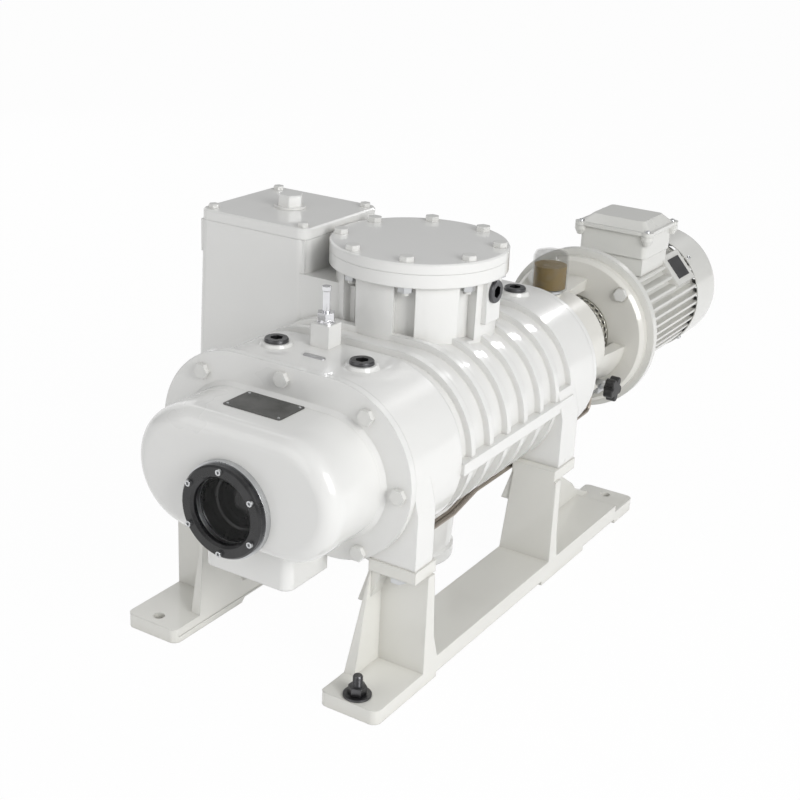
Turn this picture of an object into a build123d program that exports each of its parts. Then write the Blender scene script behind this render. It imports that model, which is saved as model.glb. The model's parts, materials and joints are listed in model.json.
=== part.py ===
from build123d import *
from math import atan2, cos, hypot, pi, radians, sin, tan
import os

os.makedirs("parts", exist_ok=True)

# Millimetres. The shafts run along Y, the motor is at +Y, the inlet looks up, z = 0 is the floor.

# Shaft axes and rotors
shaft_pitch = 116.0
shaft_height = 250.0
chamber_front = -190.0
chamber_rear = 120.0
rotor_clearance = 0.17
tip_clearance = 0.2
chamber_clearance = 0.3

# Supports
support_outer_x = 183.0
support_inner_x = 105.0
support_length = 695.0
foot_thickness = 18.0
foot_hole_spacing_x = 292.0
foot_hole_spacing_y = 660.0
foot_hole_d = 14.0
relief_height = 6.0
rail_top = 28.0
pad_drop = 92.0
pad_thickness = 15.0

# Casing
spigot_r = 90.0
spigot_clearance = 0.2
envelope_r = 107.0
envelope_centre_x = 63.0
groove_depth = 8.0
casing_front = -272.0
casing_rear = 186.0
smooth_front_end = -165.0
smooth_rear_start = 117.0
rib_count = 6
rib_width = 10.0
rib_first_y = -138.5
rib_pitch = 43.4

# Inlet and outlet
inlet_flange_r = 112.5
inlet_bolt_inset = 12.5
inlet_bore_r = 76.0
inlet_flange_thickness = 17.0
inlet_rise = 187.0
blank_thickness = 13.0
inlet_bolt_count = 8
inlet_bolt_d = 10.0
inlet_hole_d = 11.0
outlet_bore_r = 35.0
outlet_flange_r = 65.0
outlet_pitch_d = 110.0
outlet_hole_d = 9.0
outlet_bottom = 22.0
outlet_flange_thickness = 14.0

# Bypass valve box
box_gap = 4.5
box_width = 170.0
box_front = -81.0
box_rear = 86.0
box_drop = 138.0
box_ledge_drop = 85.0
box_foot_rear = 62.0
box_rise = 193.0
box_wall = 10.0
lid_thickness = 14.0
seat_rise = 8.0
seat_hole_r = 33.0
valve_disc_r = 41.0
valve_travel = 25.0
stem_r = 6.0

# Covers and bearings
cover_flange_front = -282.0
cover_front = -376.5
cover_r = 74.0
cover_centre_x = 64.0
cover_rounding = 20.0
cover_wall = 8.0
bearing_outer_r = 40.0
bearing_inner_r = 20.0
bearing_width = 18.0
bearing_fit = 0.05
seal_r = 30.0
rear_flange_rear = 200.0

# Lantern, coupling and motor
lantern_ring_r = 80.0
lantern_ring_rear = 300.0
lantern_disc_front = 355.0
lantern_disc_rear = 372.0
lantern_disc_r = 110.0
guard_r = 54.5
motor_flange_r = 120.0
motor_flange_rear = 388.0
frame_r = 82.0
fin_tip_r = 92.0
frame_rear = 617.0
cowl_r = 94.0
cowl_rear = 697.5
motor_shaft_r = 14.0

# Worked out from the above
pitch_r = shaft_pitch / 2
rotor_tip_r = 1.5 * pitch_r
chamber_r = rotor_tip_r + tip_clearance
drive_x = pitch_r
driven_x = -pitch_r
pad_top = shaft_height - pad_drop
pad_bottom = pad_top - pad_thickness
envelope_top = shaft_height + envelope_r
inlet_top = shaft_height + inlet_rise
inlet_pitch_r = inlet_flange_r - inlet_bolt_inset
blank_top = inlet_top + blank_thickness
flange_bottom = inlet_top - inlet_flange_thickness
box_right = -inlet_flange_r - box_gap
box_left = box_right - box_width
box_bottom = shaft_height - box_drop
box_ledge = shaft_height - box_ledge_drop
box_top = shaft_height + box_rise
seat_top = shaft_height + seat_rise
lid_top = box_top + lid_thickness
valve_x = (box_left + box_right) / 2
valve_y = (box_front + box_rear) / 2
foot_y = foot_hole_spacing_y / 2
foot_x = foot_hole_spacing_x / 2


def save(node, *solids):
    """Write one named part, a single solid or a group of separate ones."""
    shape = solids[0] if len(solids) == 1 else Compound(children=list(solids))
    shape.label = node
    export_step(shape, f"parts/{node}.step")


def along_y(profile, y_from, y_to):
    """Prism of an XZ profile between two stations along the shafts."""
    return extrude(Plane.XZ.offset(-y_to) * profile, y_to - y_from)


def disc_y(x, z, r, y_from, y_to):
    return along_y(Pos(x, z) * Circle(r), y_from, y_to)


def ring_y(x, z, r_out, r_in, y_from, y_to):
    return along_y(Pos(x, z) * (Circle(r_out) - Circle(r_in)), y_from, y_to)


def post(x, y, r, z_from, z_to):
    """Upright cylinder between two heights."""
    return Pos(x, y, (z_from + z_to) / 2) * Cylinder(r, z_to - z_from)


def block(x0, x1, y0, y1, z0, z1):
    centre = ((x0 + x1) / 2, (y0 + y1) / 2, (z0 + z1) / 2)
    return Pos(*centre) * Box(x1 - x0, y1 - y0, z1 - z0)


def slot(half_centres, r, z=shaft_height):
    """Upright oblong seen along the shafts."""
    return Pos(0, z) * SlotCenterToCenter(2 * half_centres, 2 * r)


def twin_circles(r):
    """The two overlapping circles that the rotors sweep."""
    return Pos(drive_x, shaft_height) * Circle(r) + Pos(driven_x, shaft_height) * Circle(r)


def turned(points, x, z=shaft_height):
    """Solid of revolution about a line along Y; the points are (radius, y)."""
    face = make_face(Polyline(*points, close=True))
    return Pos(x, 0, z) * revolve(face, Axis.Y)


def turned_up(points, x, y):
    """Solid of revolution about an upright line; the points are (radius, z)."""
    face = make_face(Polyline(*points, close=True))
    return Pos(x, y, 0) * revolve(Plane.XZ * face, Axis.Z)


def hexagon(across_flats):
    return RegularPolygon(across_flats / 2, 6, major_radius=False)


def upright_bolt(x, y, head_from, shank_r, across_flats, head, grip):
    """Hexagon bolt whose head stands on a face that looks up."""
    top = chamfer_top(Pos(x, y, head_from) * extrude(hexagon(across_flats), head), 0.8)
    return top + post(x, y, shank_r, head_from - grip, head_from)


def chamfer_top(solid, size):
    return chamfer(solid.faces().sort_by(Axis.Z)[-1].edges(), size)


def bolt_along_y(x, z, face_y, shank_r, across_flats, head, grip, towards):
    """Hexagon bolt on a face square to the shafts; towards is the way its head points."""
    near, far = sorted((face_y, face_y + towards * head))
    bolt = along_y(Pos(x, z) * hexagon(across_flats), near, far)
    near, far = sorted((face_y, face_y - towards * grip))
    return bolt + disc_y(x, z, shank_r, near, far)


def socket_screw_y(x, z, face_y, shank_r, head_r, head, grip, towards):
    """Socket head screw on a face square to the shafts."""
    near, far = sorted((face_y, face_y + towards * head))
    screw = disc_y(x, z, head_r, near, far)
    inner, outer = sorted((face_y + towards * head * 0.4, face_y + towards * head))
    screw -= along_y(Pos(x, z) * hexagon(head_r), inner, outer)
    near, far = sorted((face_y, face_y - towards * grip))
    return screw + disc_y(x, z, shank_r, near, far)


# Supports

front_pad = (-274.0, -230.0)
rear_pad = (69.0, 128.0)
foot_bolt_x = 152.0
foot_bolt_ys = (-262.0, 102.0)


def support():
    """Right support casting: foot, rail, two columns, rear gusset and machined pads."""
    outer = support_outer_x
    inner = support_inner_x
    ends = support_length / 2
    side = Polyline((-ends, 0), (-220, 0), (-214, relief_height), (46, relief_height), (52, 0),
                    (178, 0), (184, relief_height), (278, relief_height), (284, 0), (ends, 0),
                    (ends, foot_thickness), (325, foot_thickness), (302, rail_top), (276, 40),
                    (262, 54), (126, pad_bottom), (69, pad_bottom), (69, rail_top), (-214, rail_top),
                    (-232, 60), (-237, pad_bottom), (-274, pad_bottom), (-300, foot_thickness),
                    (-ends, foot_thickness), close=True)
    web = Pos(inner, 0, 0) * extrude(Plane.YZ * make_face(side), 16)
    body = web + block(inner, outer, -ends, -219.5, 0, foot_thickness)
    body += block(inner, outer, -219.5, 284, relief_height, rail_top)
    body += block(inner, outer, 284, ends, 0, foot_thickness)
    body += block(inner, outer, 52, 178, 0, relief_height)
    front_wall = Polyline((-250, foot_thickness), (-216, foot_thickness), (-230, 60),
                          (-236, pad_bottom), (-250, pad_bottom), close=True)
    rear_wall = Polyline((69, rail_top), (92, rail_top), (86, 60), (83, pad_bottom), (69, pad_bottom),
                         close=True)
    for wall in (front_wall, rear_wall):
        body += Pos(inner, 0, 0) * extrude(Plane.YZ * make_face(wall), outer - inner)
    lean = make_face(Polyline((inner - 6, 8), (inner - 6, pad_bottom + 1), (inner + 15, pad_bottom + 1),
                              (inner + 1, 8), close=True))
    body -= Pos(0, 400, 0) * extrude(Plane.XZ * lean, 800)
    for y0, y1 in (front_pad, rear_pad):
        body += block(inner + 13, outer - 3, y0, y1, pad_bottom, pad_top)
    brace = make_face(Polyline((inner - 1, pad_bottom - 43), (inner + 13, pad_bottom + 1),
                               (inner + 29, pad_bottom + 1), (inner + 13, pad_bottom - 43), close=True))
    for y0, y1 in ((-272, -236), (71, 126)):
        body += Pos(0, y1, 0) * extrude(Plane.XZ * brace, y1 - y0)
    for y in (-foot_y, foot_y):
        body -= post(foot_x, y, foot_hole_d / 2, -1, foot_thickness + 1)
    for y in foot_bolt_ys:
        body -= post(foot_bolt_x, y, 6.6, pad_bottom - 1, pad_top + 1)
    corners = body.edges().filter_by(Axis.Z).filter_by(lambda e: abs(e.center().Y) > ends - 1)
    return fillet(corners, 10)


right_support = support()
save("right_support", right_support)
save("left_support", mirror(right_support, about=Plane.YZ))


# Casing

leg_spans = ((-272.0, -235.0), (82.0, 128.0))
tube_xs = (107.0, 113.5)
tube_end_y = -151.0
tube_r = 2.8
tube_gap = 2.67
plug_r = 13.7
plug_bosses = ((drive_x + 2, -214.0), (driven_x - 2, -214.0), (drive_x + 2, 152.0), (driven_x - 2, 152.0))
plug_seat = envelope_top + 4.0
neck_plug_z = flange_bottom - 15.0
neck_plug_seat = inlet_flange_r - 3.5
vent_x = -14.0
vent_y = -180.0
vent_top = envelope_top + 28.0
barrel_depth = (envelope_r ** 2 - (tube_xs[0] - envelope_centre_x) ** 2) ** 0.5
tube_height = shaft_height - barrel_depth - tube_gap - tube_r
tube_boss_bottom = tube_height + 7.0
cover_bolt_r = 96.0
rear_screw_r = 93.5
flange_angles = (58.0, 0.0, -61.0)
inlet_angles = [22.5 + 360 / inlet_bolt_count * i for i in range(inlet_bolt_count)]
lid_bolt_x = 71.5
lid_bolt_y = 69.5
lid_bolt_places = [(valve_x + sx * lid_bolt_x, valve_y + sy * lid_bolt_y) for sx in (-1, 1) for sy in (-1, 1)]


def flange_places(r):
    """Bolt places round both halves of an end flange, and one at its middle top."""
    places = [(0, shaft_height + r + 2)]
    for side in (-1, 1):
        for angle in flange_angles:
            x = side * (envelope_centre_x + r * cos(radians(angle)))
            places.append((x, shaft_height + r * sin(radians(angle))))
    return places


def casing_barrel():
    """Oblong barrel with its ribs, side bands and the thick plain ends."""
    barrel = along_y(slot(envelope_centre_x, envelope_r - groove_depth), casing_front, casing_rear)
    barrel += along_y(slot(envelope_centre_x, envelope_r), casing_front, smooth_front_end)
    barrel += along_y(slot(envelope_centre_x, envelope_r), smooth_rear_start, casing_rear)
    for i in range(rib_count):
        middle = rib_first_y + i * rib_pitch
        rib = along_y(slot(envelope_centre_x, envelope_r), middle - rib_width / 2, middle + rib_width / 2)
        barrel += rib
    for side in (-1, 1):
        outer = side * (envelope_centre_x + envelope_r + 4)
        band = sorted((side * 150, outer))
        barrel += block(*band, smooth_front_end - 1, smooth_rear_start + 1, shaft_height - 15, shaft_height)
    return barrel


def casing_legs():
    """Four legs that carry the barrel on the support pads."""
    legs = None
    for side in (-1, 1):
        outline = Polyline((side * 120, pad_top), (side * 178, pad_top), (side * 178, shaft_height - 24),
                           (side * 169, shaft_height + 12), (side * 140, shaft_height + 12),
                           (side * 112, shaft_height - 60), close=True)
        for y0, y1 in leg_spans:
            leg = along_y(make_face(outline), y0, y1)
            legs = leg if legs is None else legs + leg
    return legs


def inlet_neck():
    """Round neck with a pocket under each flange bolt, under the inlet flange."""
    low = shaft_height + 40
    root_r = inlet_flange_r - 13.5
    neck = turned_up(((0, low), (root_r, low), (root_r + 4, envelope_top - 7), (root_r + 5, flange_bottom),
                      (0, flange_bottom)), 0, 0)
    pocket = block(root_r - 12, inlet_flange_r + 7, -13, 13, envelope_top - 10, flange_bottom)
    for angle in inlet_angles:
        neck -= Rot(0, 0, angle) * pocket
    neck += block(60, neck_plug_seat, -17, 17, neck_plug_z - 39, flange_bottom)
    return neck + post(0, 0, inlet_flange_r, flange_bottom, inlet_top)


def valve_box():
    """Bypass valve box with a slight draft, its upper duct and its lower duct."""
    width = box_right - box_left
    depth = box_rear - box_front
    top = Pos(valve_x, valve_y, box_top) * RectangleRounded(width, depth, 14)
    low = Pos(valve_x, valve_y, box_ledge) * RectangleRounded(width + 14, depth + 8, 14)
    box = loft([low, top])
    foot_depth = box_foot_rear - box_front
    foot_place = Pos(valve_x + 6, box_front + foot_depth / 2, 0)
    foot_top = foot_place * Pos(0, 0, box_ledge + 5) * RectangleRounded(width - 4, foot_depth, 14)
    foot = foot_place * Pos(0, 0, box_bottom) * RectangleRounded(width - 24, foot_depth - 20, 14)
    box += loft([foot, foot_top])
    box += block(box_right - 12, -40, box_front, box_rear, shaft_height + 50, shaft_height + 150)
    return box + block(valve_x + 22, -40, -50, 50, box_bottom, shaft_height - 60)


def outlet_neck():
    """Tapered outlet neck with a thick bolting flange at its mouth."""
    top = outlet_bottom + outlet_flange_thickness
    return turned_up(((0, outlet_bottom), (outlet_flange_r, outlet_bottom), (outlet_flange_r, top),
                      (62, top + 3), (68, shaft_height - 130), (74, shaft_height - 85),
                      (0, shaft_height - 85)), 0, 0)


def casing_bosses():
    """Bosses for the screw plugs and the square vent boss."""
    bosses = block(vent_x - 13, vent_x + 13, vent_y - 13, vent_y + 13, envelope_top - 12, vent_top)
    low = envelope_top - 17
    for x, y in plug_bosses:
        bosses += turned_up(((0, low), (21, low), (21, plug_seat - 7), (18, plug_seat), (0, plug_seat)), x, y)
    middle = sum(tube_xs) / 2
    tube_boss = block(middle - 9, middle + 9, tube_end_y - 8, tube_end_y + 8, tube_boss_bottom,
                      shaft_height - 60)
    return bosses + tube_boss


def casing_hollows():
    """Everything cut from the casting: chamber, spigot seats, ports, valve chambers, ducts."""
    hollows = along_y(twin_circles(chamber_r), chamber_front, chamber_rear)
    hollows += along_y(twin_circles(spigot_r), casing_front - 1, chamber_front)
    hollows += along_y(twin_circles(spigot_r), chamber_rear, casing_rear + 1)
    hollows += post(0, 0, inlet_bore_r, shaft_height + 50, inlet_top + 1)
    mouth = shaft_height - 122
    hollows += post(0, 0, outlet_bore_r, outlet_bottom - 1, mouth + 2)
    hollows += turned_up(((0, mouth), (outlet_bore_r, mouth), (outlet_bore_r + 11, mouth + 20),
                          (outlet_bore_r + 11, mouth + 67), (0, mouth + 67)), 0, 0)
    inner = (box_left + box_wall, box_right - 40, box_front + box_wall, box_rear - box_wall)
    duct_low = shaft_height + 102
    hollows += block(*inner, seat_top, box_top + 1)
    hollows += block(inner[0], box_right - box_wall, inner[2], inner[3], duct_low, box_top + 1)
    hollows += block(*inner, box_ledge + 10, seat_top - 12)
    hollows += block(inner[0] + 12, inner[1], inner[2], box_foot_rear - 14, box_bottom + 10, box_ledge + 12)
    hollows += post(valve_x, valve_y, seat_hole_r, seat_top - 13, seat_top + 1)
    hollows += block(inner[1] - 3, -60, -60, 60, duct_low, duct_low + 36)
    hollows += block(inner[1] - 3, -34, -36, 36, box_bottom + 10, shaft_height - envelope_r + 1)
    return hollows


def casing_holes():
    """Fastener and plug holes of the casing."""
    holes = []
    for x, z in flange_places(cover_bolt_r):
        holes.append(disc_y(x, z, 5.3, casing_front - 1, casing_front + 26))
    for x, z in flange_places(rear_screw_r):
        holes.append(disc_y(x, z, 4.3, casing_rear - 20, casing_rear + 1))
    for x, y in plug_bosses:
        holes.append(post(x, y, plug_r + 0.1, plug_seat - 12.5, plug_seat + 1))
    neck_hole = Rot(0, 90, 0) * Cylinder(plug_r + 0.1, 20)
    holes.append(Pos(neck_plug_seat - 2.5, 0, neck_plug_z) * neck_hole)
    holes.append(post(vent_x, vent_y, 7.2, vent_top - 19, vent_top + 1))
    for angle in inlet_angles:
        x = inlet_pitch_r * cos(radians(angle))
        y = inlet_pitch_r * sin(radians(angle))
        holes.append(post(x, y, inlet_hole_d / 2, flange_bottom - 1, inlet_top + 1))
    for angle in (45, 135, 225, 315):
        x = outlet_pitch_d / 2 * cos(radians(angle))
        y = outlet_pitch_d / 2 * sin(radians(angle))
        holes.append(post(x, y, outlet_hole_d / 2, outlet_bottom - 1, outlet_bottom + 18))
    for side in (-1, 1):
        for y in foot_bolt_ys:
            holes.append(post(side * foot_bolt_x, y, 6.2, pad_top - 1, pad_top + 24))
    for x, y in lid_bolt_places:
        holes.append(post(x, y, 4.2, box_top - 20, box_top + 1))
    return holes


def lid_corner_posts():
    """Thickened corners inside the valve box that take the lid bolts."""
    low = box_top - 43
    inside = block(box_left + 2, box_right - 2, box_front + 2, box_rear - 2, low - 5, box_top)
    return [block(x - 12, x + 12, y - 12, y + 12, low, box_top) & inside for x, y in lid_bolt_places]


def casing_body():
    """The casting: outside forms, less the hollows, plus the lid posts, less the holes."""
    body = casing_barrel() + casing_legs() + inlet_neck() + valve_box() + outlet_neck() + casing_bosses()
    body -= casing_hollows()
    for corner in lid_corner_posts():
        body += corner
    body -= along_y(twin_circles(chamber_r), chamber_front, chamber_rear)
    return body - casing_holes()



save("casing", casing_body())


# Rotors, shafts and their bearings

def cycloid_point(angle):
    """Point of the lobed outline at an angle from the lobe's own axis, in degrees."""
    quarter = pitch_r / 4
    t = radians(angle)
    if angle <= 45:
        turn = radians(45) - t
        x = (pitch_r + quarter) * cos(turn) + quarter * cos(turn * (pitch_r + quarter) / quarter) * -1
        y = (pitch_r + quarter) * sin(turn) + quarter * sin(turn * (pitch_r + quarter) / quarter) * -1
        base = radians(45)
        r = hypot(x, y)
        a = base - atan2(y, x)
    else:
        turn = t - radians(45)
        x = (pitch_r - quarter) * cos(turn) + quarter * cos(turn * (pitch_r - quarter) / quarter)
        y = (pitch_r - quarter) * sin(turn) - quarter * sin(turn * (pitch_r - quarter) / quarter)
        r = hypot(x, y)
        a = radians(45) + atan2(y, x)
    return r, a


def lobe_outline(clearance):
    """Two-lobe outline about the origin, its tips on X, drawn inside the true one."""
    step = 3.0
    quarter_points = []
    for i in range(int(90 / step) + 1):
        r, a = cycloid_point(i * step)
        r -= clearance
        a -= clearance / pitch_r * sin(2 * a)
        quarter_points.append((r * cos(a), r * sin(a)))
    half = quarter_points + [(-x, y) for x, y in reversed(quarter_points[:-1])]
    upper = Spline(*half, tangents=((0, 1), (0, -1)))
    return make_face(Curve() + [upper, mirror(upper, about=Plane.XZ)])


journal_front = chamber_front - 63.0
journal_rear = chamber_rear + 44.0
front_ring_y = (journal_front - bearing_width, journal_front)
rear_ring_y = (journal_rear, journal_rear + bearing_width)
gear_y = (front_ring_y[0] - 31.0, front_ring_y[0] - 5.0)
nut_y = (gear_y[0] - 12.0, gear_y[0])
shaft_front = nut_y[0] - 14.0
drive_end_r = 16.0


def rotor(x, turn, shaft_rear, end_r):
    """Lobed rotor made in one piece with its stepped shaft."""
    front = chamber_front + chamber_clearance
    rear = chamber_rear - chamber_clearance
    lobes = along_y(Pos(x, shaft_height) * Rot(0, 0, turn) * lobe_outline(rotor_clearance), front, rear)
    shaft = turned(((0, shaft_front), (9, shaft_front), (10, shaft_front + 1), (10, nut_y[0] - 3),
                    (14, nut_y[0] - 3), (14, nut_y[1]), (17, nut_y[1]), (17, gear_y[1]),
                    (bearing_inner_r, gear_y[1]), (bearing_inner_r, journal_front),
                    (23, journal_front), (23, journal_rear), (bearing_inner_r, journal_rear),
                    (bearing_inner_r, rear_ring_y[1]), (end_r, rear_ring_y[1]),
                    (end_r, shaft_rear - 1), (end_r - 1, shaft_rear), (0, shaft_rear)), x)
    return lobes + shaft


coupling_r = 42.0
pump_hub_y = (276.0, 312.0)
motor_hub_y = (328.0, 362.0)

save("drive_rotor", rotor(drive_x, 0, pump_hub_y[1] - 2, drive_end_r))
save("driven_rotor", rotor(driven_x, 90, rear_ring_y[1] + 2, drive_end_r))


def inner_rings(x):
    rings = []
    for y0, y1 in (front_ring_y, rear_ring_y):
        rings.append(ring_y(x, shaft_height, 26, bearing_inner_r + bearing_fit, y0, y1))
    return rings


def outer_rings():
    rings = []
    for x in (drive_x, driven_x):
        for y0, y1 in (front_ring_y, rear_ring_y):
            rings.append(ring_y(x, shaft_height, bearing_outer_r, 34, y0, y1))
    return rings


save("drive_bearing_inner_rings", *inner_rings(drive_x))
save("driven_bearing_inner_rings", *inner_rings(driven_x))
save("bearing_outer_rings", *outer_rings())

front_seal_y = (chamber_front - 40.0, chamber_front - 30.0)
rear_seal_y = (chamber_rear + 26.0, chamber_rear + 36.0)


def shaft_seals():
    """Lip seal rings in both bearing plates, one per shaft end."""
    seals = []
    for x in (drive_x, driven_x):
        for y0, y1 in (front_seal_y, rear_seal_y):
            seals.append(ring_y(x, shaft_height, seal_r, 23.3, y0, y1))
    seals.append(ring_y(drive_x, shaft_height, seal_r, drive_end_r + 0.3, 250, 260))
    return seals


save("shaft_seals", *shaft_seals())


def bearing_plate_front():
    """Front plate: a plug in the casing with bearing and seal bores, clamped by the gear cover."""
    plate = along_y(twin_circles(spigot_r - spigot_clearance), casing_front, chamber_front)
    for x in (drive_x, driven_x):
        plate -= disc_y(x, shaft_height, bearing_outer_r + bearing_fit, casing_front - 1, journal_front)
        plate -= disc_y(x, shaft_height, 29, journal_front - 1, front_seal_y[0])
        plate -= disc_y(x, shaft_height, seal_r + bearing_fit, front_seal_y[0] - 1, front_seal_y[1])
        plate -= disc_y(x, shaft_height, 23.4, front_seal_y[1] - 1, chamber_front + 1)
    plate -= disc_y(0, shaft_height - 36, 5, casing_front - 1, casing_front + 30)
    return plate


lantern_screw_angles = [30 + 60 * i for i in range(6)]
lantern_screw_r = 51.0
cap_screw_angles = (45, 135, 225, 315)
cap_screw_r = 47.0


def around(x, angles, r, z=shaft_height):
    """Places on a circle about a line along Y."""
    return [(x + r * cos(radians(a)), z + r * sin(radians(a))) for a in angles]


def bearing_plate_rear():
    """Rear plate: plug and flange in one, bearings fitted from the motor side."""
    plate = along_y(twin_circles(spigot_r - spigot_clearance), chamber_rear, casing_rear)
    plate += along_y(slot(envelope_centre_x, envelope_r), casing_rear, rear_flange_rear)
    plate = fillet(plate.faces().sort_by(Axis.Y)[-1].outer_wire().edges(), 6)
    for x in (drive_x, driven_x):
        plate -= disc_y(x, shaft_height, bearing_outer_r + bearing_fit, journal_rear, rear_flange_rear + 1)
        plate -= disc_y(x, shaft_height, seal_r + bearing_fit, rear_seal_y[0], journal_rear + 1)
        plate -= disc_y(x, shaft_height, 23.4, chamber_rear - 1, rear_seal_y[0] + 1)
    for x, z in flange_places(rear_screw_r):
        plate -= disc_y(x, z, 4.4, casing_rear - 1, rear_flange_rear + 1)
        plate -= disc_y(x, z, 7.0, rear_flange_rear - 9, rear_flange_rear + 1)
    for x, z in around(drive_x, lantern_screw_angles, lantern_screw_r):
        plate -= disc_y(x, z, 4.1, rear_flange_rear - 18, rear_flange_rear + 1)
    for x, z in around(driven_x, cap_screw_angles, cap_screw_r):
        plate -= disc_y(x, z, 3.1, rear_flange_rear - 14, rear_flange_rear + 1)
    return plate


save("front_bearing_plate", bearing_plate_front())
save("rear_bearing_plate", bearing_plate_rear())


def bearing_cap():
    """Cap that holds the driven rotor's rear bearing."""
    cap = turned(((0, rear_ring_y[1] + 4), (30, rear_ring_y[1] + 4), (30, rear_ring_y[1]),
                  (bearing_outer_r - 0.1, rear_ring_y[1]), (bearing_outer_r - 0.1, rear_flange_rear),
                  (53, rear_flange_rear), (53, rear_flange_rear + 6), (51, rear_flange_rear + 8),
                  (0, rear_flange_rear + 8)), driven_x)
    for x, z in around(driven_x, cap_screw_angles, cap_screw_r):
        cap -= disc_y(x, z, 3.2, rear_flange_rear - 1, rear_flange_rear + 9)
    return cap - disc_y(drive_x, shaft_height, lantern_ring_r + 0.6, rear_flange_rear, rear_flange_rear + 9)


save("bearing_cap", bearing_cap())


def rear_screws():
    """All screws at the rear: plate to casing, cap to plate, lantern to plate."""
    screws = []
    for x, z in flange_places(rear_screw_r):
        screws.append(socket_screw_y(x, z, rear_flange_rear - 9, 4.0, 6.5, 8, 20, 1))
    for x, z in around(driven_x, cap_screw_angles, cap_screw_r):
        screws.append(bolt_along_y(x, z, rear_flange_rear + 8, 3.0, 10, 4, 20, 1))
    for x, z in around(drive_x, lantern_screw_angles, lantern_screw_r):
        screws.append(socket_screw_y(x, z, 214, 4.0, 6.5, 8, 28, 1))
    return screws


save("rear_screws", *rear_screws())


# Timing gears

gear_teeth = 29
gear_module = shaft_pitch / gear_teeth
gear_backlash = 0.25


def tooth_half_angle(r):
    """Half the angle of a 20 degree involute tooth at a radius, less the backlash."""
    base = pitch_r * cos(radians(20))
    at_pitch = tan(radians(20)) - radians(20)
    pressure = 0.0 if r <= base else atan2((r * r - base * base) ** 0.5, base)
    here = tan(pressure) - pressure
    return pi / 2 / gear_teeth + at_pitch - here - gear_backlash / pitch_r


def timing_gear(x, tooth_at):
    """Spur gear with a hub that reaches the bearing ring; tooth_at is one tooth's direction."""
    root = pitch_r - 1.15 * gear_module
    tip = pitch_r + 0.85 * gear_module
    radii = (root, pitch_r - 0.45 * gear_module, pitch_r + 0.2 * gear_module, tip)
    points = []
    for i in range(gear_teeth):
        middle = radians(tooth_at) + 2 * pi * i / gear_teeth
        flank = [(r, tooth_half_angle(r)) for r in radii]
        for r, half in flank:
            points.append((r * cos(middle - half), r * sin(middle - half)))
        for r, half in reversed(flank):
            points.append((r * cos(middle + half), r * sin(middle + half)))
    outline = make_face(Polyline(*points, close=True))
    gear = along_y(Pos(x, shaft_height) * outline, *gear_y)
    for face_y in (gear_y[0], gear_y[1] - 7):
        gear -= ring_y(x, shaft_height, 46, 30, face_y, face_y + 7)
    gear += disc_y(x, shaft_height, 25, gear_y[1] - 1, front_ring_y[0])
    return gear - disc_y(x, shaft_height, 17.05, gear_y[0] - 1, gear_y[1]) \
        - disc_y(x, shaft_height, bearing_inner_r + 0.1, gear_y[1], front_ring_y[0] + 1)


def gear_nut(x):
    """Round-shouldered hexagon nut on the shaft end."""
    nut = along_y(Pos(x, shaft_height) * hexagon(42), *nut_y) & disc_y(x, shaft_height, 23, *nut_y)
    return nut - disc_y(x, shaft_height, 14.1, nut_y[0] - 1, nut_y[1] + 1)


save("drive_gear", timing_gear(drive_x, 180))
save("driven_gear", timing_gear(driven_x, 180 / gear_teeth))
save("drive_gear_nut", gear_nut(drive_x))
save("driven_gear_nut", gear_nut(driven_x))

slinger_front = nut_y[0] - 7.0


def oil_slinger():
    """Thin disc with a hub on the driven shaft's end, which dips into the sump."""
    web = (slinger_front + 3, slinger_front + 5)
    return turned(((10.1, slinger_front), (16, slinger_front), (16, web[0]), (60, web[0]), (60, web[1]),
                   (18, web[1]), (18, nut_y[0]), (14.1, nut_y[0]), (14.1, nut_y[0] - 3.1),
                   (10.1, nut_y[0] - 3.1)), driven_x)


save("oil_slinger", oil_slinger())


# Gear cover and sight glass

sight_z = shaft_height - 25.0
rim_r = 57.0
sight_bore_r = 39.0
glass_r = 43.0
sight_screw_angles = [30 + 60 * i for i in range(6)]
sight_screw_r = 49.0
sump_half_width = 60.0
sump_front = -347.5
sump_bottom = shaft_height - 124.0


def gear_cover():
    """Gear cover with its bolting flange, rounded hood, oil sump and sight glass boss."""
    flange = along_y(slot(66, 108, shaft_height + 6), cover_flange_front, casing_front)
    hood = along_y(slot(cover_centre_x, cover_r), cover_front, cover_flange_front)
    hood = fillet(hood.faces().sort_by(Axis.Y)[0].edges(), cover_rounding)
    sump_top = shaft_height - 35
    sump = block(-sump_half_width, sump_half_width, sump_front, casing_front, sump_bottom, sump_top)
    sump = fillet(sump.edges().filter_by(Axis.Z).group_by(Axis.Y)[0], 12)
    boss = turned(((0, cover_front), (rim_r - 1, cover_front), (rim_r, cover_front + 1),
                   (rim_r, cover_front + 26), (rim_r - 14, cover_front + 46), (0, cover_front + 46)), 0, sight_z)
    skirt = loft([Plane.XZ.offset(-cover_flange_front) * slot(cover_centre_x, cover_r + 5),
                  Plane.XZ.offset(-cover_flange_front + 5) * slot(cover_centre_x, cover_r)])
    cover = flange + hood + sump + boss + skirt
    cover -= along_y(slot(cover_centre_x, cover_r - cover_wall), cover_front + cover_wall, casing_front + 1)
    cover -= block(-sump_half_width + 8, sump_half_width - 8, sump_front + 8, casing_front - 10,
                   sump_bottom + 8, sump_top + 1)
    cover -= disc_y(0, sight_z, sight_bore_r, cover_front - 1, cover_front + 30)
    for x, z in flange_places(cover_bolt_r):
        cover -= disc_y(x, z, 5.5, cover_flange_front - 1, casing_front + 1)
    for x, z in around(0, sight_screw_angles, sight_screw_r, sight_z):
        cover -= disc_y(x, z, 2.1, cover_front - 1, cover_front + 6)
    return cover


save("gear_cover", gear_cover())
save("cover_bolts", *[bolt_along_y(x, z, cover_flange_front, 5.0, 17, 6.4, 34, -1)
                      for x, z in flange_places(cover_bolt_r)])

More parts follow.
